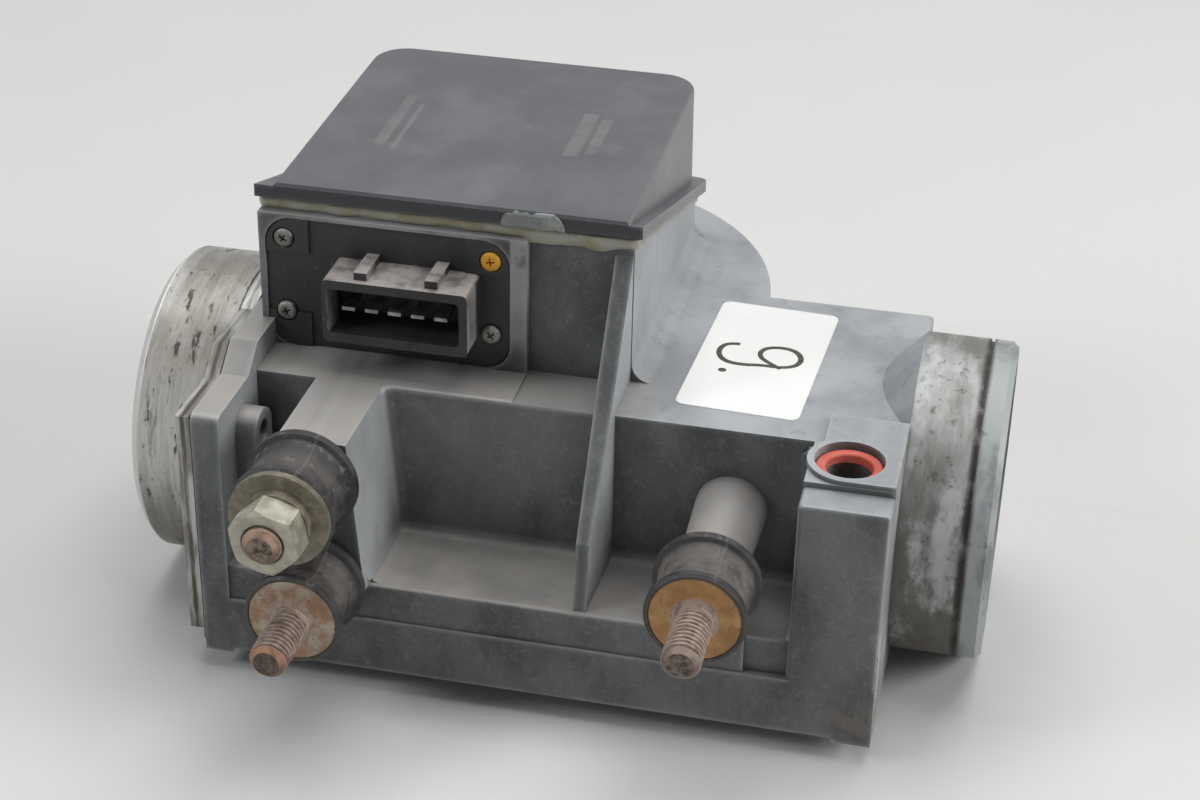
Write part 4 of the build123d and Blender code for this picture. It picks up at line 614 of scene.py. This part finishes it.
def silicone(name, base, milky, dark):
    """Sealing silicone: yellowed, cloudy and smeared by hand."""
    f = Finish(name)
    cloud = f.noise(170.0, 5.0, 0.6)
    grime = f.noise(420.0, 5.0, 0.65)
    f.skin = f.mix(f.ramp(cloud, 0.38, 0.62), base, milky)
    f.over(dark, f.ramp(grime, 0.56, 0.7, 0.0, 0.7))
    f.rough(cloud, 0.28, 0.46)
    f.relief(grime, 0.0001, 0.4)
    return f.finished()


def rubber(name, base, bloom):
    """Smooth seal rubber with a grey bloom."""
    f = Finish(name)
    bloom_spots = f.noise(150.0, 6.0, 0.65)
    f.skin = f.mix(f.ramp(bloom_spots, 0.38, 0.62, 0.0, 0.9), base, bloom)
    f.rough(0.7)
    f.relief(bloom_spots, 0.00015, 0.4)
    return f.finished()


def old_rubber(name, centre, waist, dusty):
    """Old rubber of a buffer: black collars, a scuffed brown waist, a moulding line and ragged front lip."""
    f = Finish(name)
    scuff = f.noise(210.0, 6.0, 0.66)
    f.skin = f.mix(f.ramp(scuff, 0.4, 0.64), (0.018, 0.018, 0.019), (0.052, 0.051, 0.052))
    between_collars = f.ramp(f.from_axis("Y", centre), waist + 0.0009, waist + 0.0003)
    upper = f.faces("Z", -0.35, 0.45)
    uneven = f.ramp(scuff, 0.32, 0.56, 0.35, 1.0)
    f.over(dusty, between_collars, upper, uneven)
    f.over((0.22, 0.2, 0.185), f.ramp(f.noise(520.0, 4.0, 0.6), 0.58, 0.7, 0.0, 0.5), upper)
    seam = f.math("ABSOLUTE", f.math("SUBTRACT", f.along("X"), centre[0] + 0.0035))
    seam = f.both(f.ramp(seam, 0.00045, 0.00015), upper, uneven)
    f.over((0.17, 0.155, 0.14), seam, 0.35)
    f.rough(scuff, 0.48, 0.78)
    f.relief(f.ramp(f.cells(420.0, "DISTANCE_TO_EDGE"), 0.0, 0.08), 0.00008, 0.3)
    f.relief(scuff, 0.0003, 0.5)
    f.relief(seam, 0.0002, 0.5)
    return f.finished()


def ink(name):
    """Felt pen on paper: black with brown edges where it has spread."""
    f = Finish(name)
    spread = f.noise(1500.0, 3.0, 0.5)
    f.skin = f.mix(f.ramp(spread, 0.4, 0.66), (0.012, 0.011, 0.009), (0.08, 0.062, 0.03))
    f.rough(spread, 0.35, 0.5)
    f.relief(spread, 0.00002, 0.3)
    return f.finished()


# ---- Sizes and colours a user would change ------------------------------------------------------------


def colour(name, description, default):
    """A colour that a user can change."""
    return FloatVectorProperty(name=name, description=description, subtype="COLOR", default=default)


def number(name, description, default, unit="NONE"):
    """A number that a user can change."""
    return FloatProperty(name=name, description=description, default=default, unit=unit)


class StageSettings(bpy.types.PropertyGroup):
    """Floor, backdrop, lamps and camera."""

    floor_colour: colour("Floor", "Colour of the plain floor", (0.7, 0.7, 0.695))
    key_power: number("Key lamp", "Power of the large lamp above", 13.5, "POWER")
    side_power: number("Side lamp", "Power of the lamp on the right", 8.8, "POWER")
    fill_power: number("Fill lamp", "Power of the lamp in front on the left", 5.8, "POWER")
    sky_strength: number("Sky", "Strength of the plain sky on dull surfaces", 0.1)
    backdrop_strength: number("Backdrop", "Brightness that shiny surfaces mirror", 0.72)
    focal_length: number("Focal length", "Of the camera, on a 36 mm wide film, in millimetres", 70.99)


class FinishSettings(bpy.types.PropertyGroup):
    """Main colours of the finishes."""

    casting: colour("Casting", "Main skin of the casting", (0.39, 0.408, 0.428))
    casting_dark: colour("Casting, dark", "Dark mottling", (0.275, 0.289, 0.304))
    # Pale colour of grain flecks and worn edges; also painted light on faces turned to +X and painted
    # highlight on edges
    casting_pale_and_lit: colour("Casting, pale", "Bright edges", (0.44, 0.455, 0.465))
    dust: colour("Dust", "Brown dust on the ledges", (0.165, 0.148, 0.134))
    turned: colour("Turned metal", "Turned inlet ring", (0.56, 0.552, 0.53))
    cover: colour("Cover", "Plastic of the cover", (0.072, 0.076, 0.086))


class PieceSettings(bpy.types.PropertyGroup):
    """Sizes of the fine pieces."""

    flange_head: number("Flange screw head", "Height of a flange screw's head", 0.0024, "LENGTH")
    plate_head: number("Plate screw head", "Height of a plate screw's head", 0.0015, "LENGTH")
    thread_pitch: number("Thread pitch", "Of the buffers' studs", 0.00125, "LENGTH")
    thread_depth: number("Thread depth", "From a thread's crest to its root", 0.00064, "LENGTH")
    stud_chamfer: number("Stud chamfer", "At the end of each stud", 0.0013, "LENGTH")
    bead_reach: number("Bead reach", "How far the bead stands out of its gap", 0.0005, "LENGTH")
    pen_radius: number("Pen radius", "Half the width of the pen mark's line", 0.0006, "LENGTH")


# ---- Operators ------------------------------------------------------------------------------------------


class MeterOperator(bpy.types.Operator):
    """Shared by the operators of this file."""

    bl_options = {"REGISTER", "UNDO"}

    @property
    def stage(self):
        return bpy.context.scene.meter_stage

    @property
    def colours(self):
        return bpy.context.scene.meter_finishes

    @property
    def sizes(self):
        return bpy.context.scene.meter_pieces


class METER_OT_stage(MeterOperator):
    """Build the pale floor, the lamps and the camera"""

    bl_idname = "meter.stage"
    bl_label = "Stage"

    camera_place = Vector((0.19026, -0.44379, 0.26951))
    camera_yaw = 0.20732
    camera_pitch = 0.51603
    camera_roll = 0.02306
    floor_size = 8.0
    floor_middle = (0.1, 0.6)
    floor_fades = (0.35, 0.8)

    def execute(self, context):
        self.floor()
        self.lamps(context)
        self.camera(context)
        return {"FINISHED"}

    def floor(self):
        deselect()
        bpy.ops.mesh.primitive_plane_add(size=self.floor_size, location=(*self.floor_middle, object_low.z))
        floor = name_piece("floor")
        settle(floor)
        f = Finish("floor_paint")
        scratch = f.streaks((6.0, 160.0, 1.0), 2.0, 0.4, (0.0, 0.0, 0.6))
        f.skin = tuple(self.stage.floor_colour)
        f.over((0.65, 0.65, 0.645), f.ramp(f.noise(9.0, 6.0, 0.6), 0.3, 0.7, 0.0, 0.25))
        f.over((0.56, 0.555, 0.55), f.ramp(scratch, 0.7, 0.78, 0.0, 0.12))
        f.rough(0.55)
        # Far from the meter the floor runs into the plain backdrop
        far = f.ramp(f.from_axis("Z", (object_low + object_high) / 2), *self.floor_fades)
        glow = f.add("Emission", Color=tuple(self.stage.floor_colour))
        blend = f.add("MixShader")
        f.link(f.both(far, f.add("LightPath").outputs["Is Camera Ray"]), blend.inputs[0])
        f.link(f.shader.outputs["BSDF"], blend.inputs[1])
        f.link(glow.outputs["Emission"], blend.inputs[2])
        f.link(blend.outputs["Shader"], f.tree.nodes["Material Output"].inputs["Surface"])
        floor.data.materials.append(f.finished())

    def lamps(self, context):
        world = bpy.data.worlds.new("soft_sky")
        context.scene.world = world
        world.use_nodes = True
        sky = Nodes(world.node_tree)
        rays = sky.add("LightPath").outputs
        mirrored = sky.math("MAXIMUM", rays["Is Camera Ray"], rays["Is Glossy Ray"])
        dull, bright = self.stage.sky_strength, self.stage.backdrop_strength
        strength = sky.add("MapRange", Value=mirrored, To_Min=dull, To_Max=bright)
        background = sky.tree.nodes["Background"]
        sky.feed((0.95, 0.975, 1.0), background.inputs["Color"])
        sky.link(strength.outputs["Result"], background.inputs["Strength"])
        aims = (
            ("key_lamp", (0.15, 0.34, 1.24), 1.2, self.stage.key_power, (1.0, 0.99, 0.975)),
            ("side_lamp", (1.28, -0.08, 0.62), 0.5, self.stage.side_power, (1.0, 0.99, 0.98)),
            ("fill_lamp", (-0.98, -0.62, 0.84), 0.4, self.stage.fill_power, (0.97, 0.985, 1.0)),
        )
        middle = (object_low + object_high) / 2
        for name, place, size, power, colour in aims:
            deselect()
            bpy.ops.object.light_add(type="AREA", location=place)
            lamp = bpy.context.object
            lamp.name = name
            lamp.data.size = size
            lamp.data.energy = power
            lamp.data.color = colour
            lamp.rotation_euler = (middle - Vector(place)).to_track_quat("-Z", "Y").to_euler()

    def camera(self, context):
        deselect()
        bpy.ops.object.camera_add(location=self.camera_place)
        camera = context.object
        camera.name = "camera"
        camera.data.sensor_width = 36.0
        camera.data.lens = self.stage.focal_length
        camera.data.clip_start = 0.01
        yaw = Matrix.Rotation(self.camera_yaw, 4, "Z")
        pitch = Matrix.Rotation(math.pi / 2 - self.camera_pitch, 4, "X")
        roll = Matrix.Rotation(self.camera_roll, 4, "Z")
        camera.matrix_world = Matrix.Translation(self.camera_place) @ yaw @ pitch @ roll
        context.scene.camera = camera
        context.scene.view_settings.view_transform = "Standard"


class METER_OT_castings(MeterOperator):
    """Finish the housing and the inlet ring, and make the ring's low-headed screws"""

    bl_idname = "meter.castings"
    bl_label = "Castings"

    head_radius = 0.0043
    shank_radius = 0.00245
    seat_depth = 0.0046

    def execute(self, context):
        finish_of("housing", cast_aluminium(self.colours))
        finish_of("inlet_ring", turned_aluminium(self.colours))
        finish_of("sensor_flap", plain_metal("flap_metal", (0.48, 0.49, 0.5), (0.34, 0.35, 0.36), 0.42))
        fibre = moulded_plastic("gasket_fibre", (0.035, 0.033, 0.03), (0.11, 0.1, 0.09), 0.8)
        finish_of("inlet_gasket", fibre)
        low, high = (Vector(corner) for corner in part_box("flange_screws"))
        seat = low.x + self.seat_depth
        steel = plain_metal("flange_screw_steel", (0.34, 0.33, 0.3), (0.17, 0.155, 0.13), 0.45)
        first = crossed_screw(
            "flange_screw", self.head_radius, self.sizes.flange_head, self.shank_radius, high.x - seat
        )
        front, back = low.y + self.head_radius, high.y - self.head_radius
        bottom, top = low.z + self.head_radius, high.z - self.head_radius
        for name, y, z, turn in (
            ("front_low", front, bottom, 12.0),
            ("front_high", front, top, 50.0),
            ("back_low", back, bottom, 71.0),
            ("back_high", back, top, 28.0),
        ):
            outwards = Matrix.Rotation(-math.pi / 2, 4, "Y") @ Matrix.Rotation(math.radians(turn), 4, "Z")
            screw = placed_copy(first, "flange_screw_" + name, (seat, y, z), outwards)
            screw.data.materials.append(steel)
            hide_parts("flange_screws")
            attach(screw, "meter")
        bpy.data.objects.remove(first)
        return {"FINISHED"}


class METER_OT_cover(MeterOperator):
    """Finish the cover, lay the uneven sealing bead under its rim and the smear over its front edge"""

    bl_idname = "meter.cover"
    bl_label = "Cover and bead"

    rim_fall = math.tan(math.radians(16.7))
    gap_half = 0.0011
    wall_half = 0.0013
    back_corner = 0.005
    front_corner = 0.001
    segments = 260
    tube = 0.25
    thick_from = 0.084
    smear_left = 0.079
    smear_width = 0.0133

    def execute(self, context):
        finish_of("cover", cover_plastic(self.colours))
        bead = self.bead()
        yellowed = silicone("bead_silicone", (0.3, 0.275, 0.175), (0.37, 0.365, 0.32), (0.13, 0.115, 0.085))
        bead.data.materials.append(yellowed)
        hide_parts("cover_sealant")
        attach(bead, "meter")
        smear = self.smear()
        grey = silicone("smeared_silicone", (0.2, 0.215, 0.205), (0.33, 0.345, 0.325), (0.095, 0.09, 0.08))
        smear.data.materials.append(grey)
        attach(smear, "meter")
        return {"FINISHED"}

    def wall_path(self):
        """Points (x, y) and outward directions along the outer face of the box's wall, evenly spaced."""
        inset = Vector((0.0005, 0.0005, 0))
        low, high = sealant_low + inset, sealant_high - inset
        path = []
        for x, y, radius, start in (
            (high.x, high.y, self.back_corner, 0.0),
            (low.x, high.y, self.back_corner, 90.0),
            (low.x, low.y, self.front_corner, 180.0),
            (high.x, low.y, self.front_corner, 270.0),
        ):
            inward = Vector((-1 if x == high.x else 1, -1 if y == high.y else 1))
            centre = Vector((x, y)) + inward * radius
            for step in range(7):
                turn = math.radians(start + step * 15.0)
                outward = Vector((math.cos(turn), math.sin(turn)))
                path.append((centre + outward * radius, outward))
        lengths = [(path[(i + 1) % len(path)][0] - path[i][0]).length for i in range(len(path))]
        spaced, step = [], sum(lengths) / self.segments
        walked, index = 0.0, 0
        for count in range(self.segments):
            while walked + lengths[index] < count * step:
                walked += lengths[index]
                index += 1
            share = (count * step - walked) / lengths[index]
            here, after = path[index], path[(index + 1) % len(path)]
            spaced.append((here[0].lerp(after[0], share), here[1].lerp(after[1], share).normalized()))
        return spaced

    def gap_height(self, y):
        """Middle of the sloping gap between the wall and the rim at depth y."""
        return sealant_high.z - self.gap_half - (y - sealant_low.y) * self.rim_fall

    def bead(self):
        deselect()
        bpy.ops.mesh.primitive_torus_add(
            major_segments=self.segments, minor_segments=12, major_radius=1.0, minor_radius=self.tube
        )
        bead = name_piece("sealing_bead")
        path = self.wall_path()
        for vertex in bead.data.vertices:
            turn = math.atan2(vertex.co.y, vertex.co.x) / (2 * math.pi)
            point, outward = path[round(turn * self.segments) % self.segments]
            out = (math.hypot(vertex.co.x, vertex.co.y) - 1.0) / self.tube
            rise = vertex.co.z / self.tube
            lumps = rough_noise((point.x, point.y, 0.0), 160.0)
            lumps += 0.5 * rough_noise((point.x, point.y, 1.0), 420.0)
            reach = self.sizes.bead_reach + 0.0004 * lumps
            sag = 0.0003 + 0.0006 * lumps
            if point.y < sealant_low.y + 0.003 and point.x > self.thick_from:
                reach += self.sizes.bead_reach
                sag = 0.0026 - 0.08 * (point.x - self.thick_from) + 0.0009 * lumps
            sideways = out * (reach if out > 0 else self.wall_half * 1.6)
            drop = 0.0 if rise > 0 else max(0.0, sag) * max(0.0, out + 0.3)
            upright = rise * (self.gap_half + drop)
            place = point + outward * sideways
            vertex.co = (place.x, place.y, self.gap_height(point.y) + upright)
        close_up(bead)
        smooth(bead, 60.0)
        return bead

    def smear(self):
        columns, rows = 44, 14
        front = sealant_low.y - 0.0009
        top = self.gap_height(front) + self.gap_half + 0.0028
        profile = (
            (front + 0.0014, top - 0.0036),
            (front - 0.0001, top - 0.0029),
            (front - 0.0001, top - 0.0014),
            (front - 0.0001, top - 0.0002),
            (front + 0.0003, top + 0.0003),
            (front + 0.0009, top + 0.0004),
        )

        def place(column, row):
            share = column / columns
            x = self.smear_left + self.smear_width * share
            x += 0.0007 * rough_noise((row * 0.31, share * 2.0, 0.0), 3.0)
            height = 0.8 + 0.26 * rough_noise((share * 9.0, 0.3, 0.0), 1.0)
            height *= min(1.0, 0.45 + 4.0 * min(share, 1.0 - share))
            along = min(row / rows * height, 0.999) * (len(profile) - 1)
            step = int(along)
            part = along - step
            y, z = (a * (1 - part) + b * part for a, b in zip(profile[step], profile[step + 1]))
            lump = 0.00012 * rough_noise((x, y, z), 900.0)
            return (x, y - 0.00012 - abs(lump), z + lump * 0.5)

        smear = wrapped_grid("sealant_smear", columns, rows, place)
        wall = smear.modifiers.new("wall", "SOLIDIFY")
        wall.thickness = 0.00025
        wall.offset = 0.0
        apply_all(smear)
        close_up(smear)
        smooth(smear, 60.0)
        return smear


class METER_OT_socket(MeterOperator):
    """Finish the plug socket and its pins, and make its cross-recess screws"""

    bl_idname = "meter.socket"
    bl_label = "Plug socket"

    head_radius = 0.0022
    shank_radius = 0.00159
    shank_length = 0.0062
    shroud_top = 0.047

    def execute(self, context):
        black = moulded_plastic(
            "socket_plastic", (0.02, 0.02, 0.022), (0.046, 0.045, 0.044), 0.4,
            dust=(0.36, 0.33, 0.315), dust_from=self.shroud_top,
        )
        finish_of("connector_body", black)
        finish_of("connector_gasket", rubber("gasket_rubber", (0.02, 0.02, 0.02), (0.05, 0.05, 0.05)))
        finish_of("connector_pins", plain_metal("pin_metal", (0.5, 0.49, 0.45), (0.28, 0.27, 0.25), 0.35))
        zinc = plain_metal("screw_zinc", (0.3, 0.3, 0.27), (0.13, 0.13, 0.12), 0.45)
        orange = moulded_plastic("orange_paint", (0.72, 0.36, 0.02), (0.55, 0.24, 0.02), 0.3, 900.0)
        low, high = (Vector(corner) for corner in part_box("connector_screws"))
        left, right = low.x + self.head_radius, high.x - self.head_radius
        bottom, top = low.z + self.head_radius, high.z - self.head_radius
        height = self.sizes.plate_head
        first = crossed_screw("plate_screw", self.head_radius, height, self.shank_radius, self.shank_length)
        for name, x, z, turn, material in (
            ("lower_left", left, bottom, 20.0, zinc),
            ("upper_left", left, top, 58.0, zinc),
            ("lower_right", right, bottom, 37.0, zinc),
            ("upper_right", right, top, 8.0, orange),
        ):
            outwards = Matrix.Rotation(math.pi / 2, 4, "X") @ Matrix.Rotation(math.radians(turn), 4, "Z")
            head = placed_copy(first, "plate_screw_" + name, (x, low.y + height, z), outwards)
            head.data.materials.append(material)
            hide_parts("connector_screws")
            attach(head, "meter")
        bpy.data.objects.remove(first)
        return {"FINISHED"}


class METER_OT_buffers(MeterOperator):
    """Finish the rubber buffers, the washers and the nut, and cut the studs' threads"""

    bl_idname = "meter.buffers"
    bl_label = "Buffers"

    major = 0.00398
    disc_thickness = 0.0012
    disc_bevel = 0.0003
    waist = 0.0092
    fillet = 0.0008
    columns = 36
    steps = 8
    # Each disc's colour, stain and flakes
    discs = {
        "upper_left": ((0.36, 0.33, 0.25), (0.24, 0.15, 0.08), (0.1, 0.07, 0.05)),
        "lower_left": ((0.43, 0.375, 0.29), (0.33, 0.195, 0.12), (0.17, 0.105, 0.065)),
        "right": ((0.46, 0.265, 0.105), (0.36, 0.19, 0.07), (0.2, 0.12, 0.06)),
    }
    # Each stud's shoulder and end
    tips = {
        "upper_left": ((0.4, 0.27, 0.195), (0.27, 0.205, 0.155)),
        "lower_left": ((0.38, 0.205, 0.13), (0.135, 0.1, 0.08)),
        "right": ((0.31, 0.235, 0.195), (0.2, 0.16, 0.135)),
    }
    crest = (0.4, 0.305, 0.25)
    root = (0.085, 0.058, 0.046)

    def execute(self, context):
        olive = plain_metal("olive_passivation", (0.27, 0.245, 0.185), (0.17, 0.15, 0.112), 0.42, 0.35, 420.0)
        pale_olive = plain_metal("pale_passivation", (0.5, 0.49, 0.4), (0.34, 0.325, 0.25), 0.36, 0.4)
        hidden = plain_metal("root_steel", (0.36, 0.35, 0.33), (0.22, 0.2, 0.18), 0.45)
        for place in self.discs:
            low, high = (Vector(corner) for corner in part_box("buffer_rubber_" + place))
            cushion = old_rubber("rubber_" + place, (low + high) / 2, self.waist, (0.118, 0.104, 0.096))
            finish_of("buffer_rubber_" + place, cushion)
            finish_of("buffer_root_stud_" + place, hidden)
            stud = self.stud(place)
            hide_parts("buffer_stud_" + place)
            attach(stud, "meter")
        finish_of("buffer_washer", olive)
        finish_of("buffer_lock_washer", olive)
        finish_of("buffer_nut", pale_olive)
        return {"FINISHED"}

    def thread_radius(self, turn, depth, length):
        """Radius of the worn thread at a turn (0 to 1), a depth from the disc and a stud length."""
        pitch = self.sizes.thread_pitch
        phase = (depth / pitch - turn) % 1.0
        ridge = min(1.0, max(0.0, 2.6 * (1.0 - abs(2.0 * phase - 1.0)) - 0.35))
        grown = min(1.0, max(0.0, (depth - self.fillet) / (1.5 * pitch)))
        radius = self.major - self.sizes.thread_depth * grown * (1.0 - ridge)
        return min(radius, self.major - self.sizes.stud_chamfer + (length - depth))

    def stud(self, place):
        low, high = (Vector(corner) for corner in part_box("buffer_stud_" + place))
        x, z = (low.x + high.x) / 2, (low.z + high.z) / 2
        radius = (high.x - low.x) / 2
        length = high.y - low.y - self.disc_thickness
        rows = int((length - self.fillet) / (self.sizes.thread_pitch / self.steps))
        # Depth from the disc's face and radius; the thread's own rows have no radius here
        profile = [(-self.disc_thickness, 0.0), (-self.disc_thickness, radius)]
        profile += [(-self.disc_bevel, radius), (0.0, radius - self.disc_bevel)]
        profile += [(0.0, 0.0066), (0.00015, 0.005), (0.0006, 0.0043)]
        profile += [(self.fillet + (length - self.fillet) * row / rows, None) for row in range(rows + 1)]
        profile += [(length, 0.002), (length - 0.0002, 0.0)]
        face = high.y - self.disc_thickness

        def ring_point(spread, angle, depth):
            return Vector((x + spread * math.cos(angle), face - depth, z + spread * math.sin(angle)))

        def put(column, row):
            depth, plain = profile[row]
            turn = (column % self.columns) / self.columns
            angle = 2 * math.pi * turn
            if plain is not None:
                return ring_point(plain, angle, depth)
            spread = self.thread_radius(turn, depth, length)
            spread += 0.00005 * rough_noise(ring_point(spread, angle, depth), 900.0)
            return ring_point(spread, angle, depth)

        stud = wrapped_grid("stud_" + place, self.columns, len(profile) - 1, put)
        close_up(stud)
        crest = stud.data.attributes.new("crest", "FLOAT", "POINT")
        for vertex in stud.data.vertices:
            spread = math.hypot(vertex.co.x - x, vertex.co.z - z)
            crest.data[vertex.index].value = 1.0 - (self.major - spread) / self.sizes.thread_depth
        thread = rusty_thread("thread_" + place, self.crest, self.root, *self.tips[place], low.y)
        stud.data.materials.append(thread)
        stud.data.materials.append(stained_disc("disc_" + place, *self.discs[place]))
        for polygon in stud.data.polygons:
            spread = math.hypot(polygon.center.x - x, polygon.center.z - z)
            on_disc = polygon.center.y > face - 0.0003 and spread > self.major
            polygon.material_index = 1 if on_disc else 0
        smooth(stud, 34.0)
        return stud


class METER_OT_label(MeterOperator):
    """Finish the label, write its pen mark and finish the bypass screw with its red ring"""

    bl_idname = "meter.label"
    bl_label = "Label and bypass"

    # Millimetres from the frame's origin
    stroke = (
        (126.4, 6.5), (124.0, 6.5), (122.4, 4.0), (122.6, 0.6), (124.6, -2.0), (128.4, -2.6), (132.4, -1.7),
        (136.4, -2.0), (139.6, -0.6), (140.6, 2.6), (139.0, 6.2), (135.4, 7.2), (132.2, 6.2), (131.0, 3.4),
        (132.4, 0.4), (136.6, -2.4),
    )
    dot = (124.6, -5.9)

    def execute(self, context):
        paper = moulded_plastic("label_paper", (0.91, 0.91, 0.905), (0.86, 0.86, 0.85), 0.3, 600.0)
        finish_of("label", paper)
        mark = self.pen_mark()
        mark.data.materials.append(ink("pen_ink"))
        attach(mark, "meter")
        finish_of("bypass_ring", moulded_plastic("red_ring", (0.62, 0.11, 0.075), (0.72, 0.36, 0.3), 0.5))
        finish_of("bypass_screw", plain_metal("brass_screw", (0.3, 0.22, 0.11), (0.1, 0.075, 0.04), 0.5))
        finish_of("bypass_screw_seal", rubber("seal_rubber", (0.02, 0.02, 0.02), (0.05, 0.05, 0.05)))
        return {"FINISHED"}

    def pen_mark(self):
        """A numeral and a point in felt pen, raised by the ink alone."""
        deselect()
        bpy.ops.curve.primitive_nurbs_path_add()
        line = bpy.context.object
        spline = line.data.splines[0]
        spline.points.add(len(self.stroke) - len(spline.points))
        for point, (x, y) in zip(spline.points, self.stroke):
            point.co = (x / 1000.0, y / 1000.0, 0.0, 1.0)
            point.radius = 1.0 + 0.25 * rough_noise((x, y, 0.0), 0.21)
        spline.order_u = 3
        spline.use_endpoint_u = True
        line.data.bevel_depth = self.sizes.pen_radius
        line.data.bevel_resolution = 2
        line.data.resolution_u = 5
        line.data.use_fill_caps = True
        bpy.ops.object.convert(target="MESH")
        line = name_piece("pen_line")
        deselect()
        bpy.ops.mesh.primitive_uv_sphere_add(
            segments=16,
            ring_count=8,
            radius=self.sizes.pen_radius * 1.5,
            location=(self.dot[0] / 1000, self.dot[1] / 1000, 0),
        )
        point = name_piece("pen_point")
        settle(point)
        mark = join_pieces([line, point], "pen_mark")
        mark.scale = (1.0, 1.0, 0.08)
        settle(mark)
        mark.location = (0.0, 0.0, label_top)
        settle(mark)
        smooth(mark, 60.0)
        return mark


class METER_OT_mechanism(MeterOperator):
    """Finish the measuring mechanism inside"""

    bl_idname = "meter.mechanism"
    bl_label = "Mechanism"

    def execute(self, context):
        blued = plain_metal("blued_steel", (0.22, 0.24, 0.3), (0.12, 0.13, 0.17), 0.32)
        bronze = plain_metal("bearing_bronze", (0.42, 0.27, 0.12), (0.28, 0.17, 0.07), 0.45)
        contact = plain_metal("contact_strip", (0.62, 0.48, 0.22), (0.42, 0.31, 0.14), 0.3)
        steel = plain_metal("ground_steel", (0.55, 0.55, 0.56), (0.38, 0.38, 0.39), 0.28)
        black = moulded_plastic("mechanism_plastic", (0.02, 0.02, 0.02), (0.05, 0.05, 0.05), 0.45)
        ceramic = moulded_plastic("board_ceramic", (0.62, 0.61, 0.56), (0.3, 0.29, 0.26), 0.6, 500.0)
        for material, nodes in (
            (steel, ("vane_shaft", "shaft_circlip", "lower_bearing_cap", "board_screws")),
            (blued, ("return_spring", "wheel_lock_spring")),
            (bronze, ("upper_bearing", "lower_bearing")),
            (contact, ("wiper_arm", "contact_leads")),
            (black, ("tension_wheel", "wiper_hub", "air_temperature_sensor")),
            (ceramic, ("resistor_board",)),
        ):
            for node in nodes:
                finish_of(node, material)
        finish_of("flap_stop_bumper", rubber("bumper_rubber", (0.02, 0.02, 0.02), (0.06, 0.06, 0.06)))
        return {"FINISHED"}


class METER_PT_panel(bpy.types.Panel):
    """The meter's operators in the sidebar."""

    bl_label = "Air flow meter"
    bl_idname = "METER_PT_panel"
    bl_space_type = "VIEW_3D"
    bl_region_type = "UI"
    bl_category = "Air Meter"

    def draw(self, context):
        column = self.layout.column()
        for operator in operators:
            column.operator(operator.bl_idname, text=operator.bl_label)
        scene = context.scene
        for settings in (scene.meter_stage, scene.meter_finishes, scene.meter_pieces):
            for name in settings.__annotations__:
                column.prop(settings, name)


operators = (
    METER_OT_stage,
    METER_OT_castings,
    METER_OT_cover,
    METER_OT_socket,
    METER_OT_buffers,
    METER_OT_label,
    METER_OT_mechanism,
)
classes = (StageSettings, FinishSettings, PieceSettings, *operators, METER_PT_panel)


def register():
    for kind in classes:
        bpy.utils.register_class(kind)
    bpy.types.Scene.meter_stage = PointerProperty(type=StageSettings)
    bpy.types.Scene.meter_finishes = PointerProperty(type=FinishSettings)
    bpy.types.Scene.meter_pieces = PointerProperty(type=PieceSettings)


def unregister():
    del bpy.types.Scene.meter_pieces
    del bpy.types.Scene.meter_finishes
    del bpy.types.Scene.meter_stage
    for kind in reversed(classes):
        bpy.utils.unregister_class(kind)


def main():
    """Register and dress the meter."""
    register()
    bpy.ops.meter.stage()
    bpy.ops.meter.castings()
    bpy.ops.meter.cover()
    bpy.ops.meter.socket()
    bpy.ops.meter.buffers()
    bpy.ops.meter.label()
    bpy.ops.meter.mechanism()


if __name__ == "__main__":
    main()
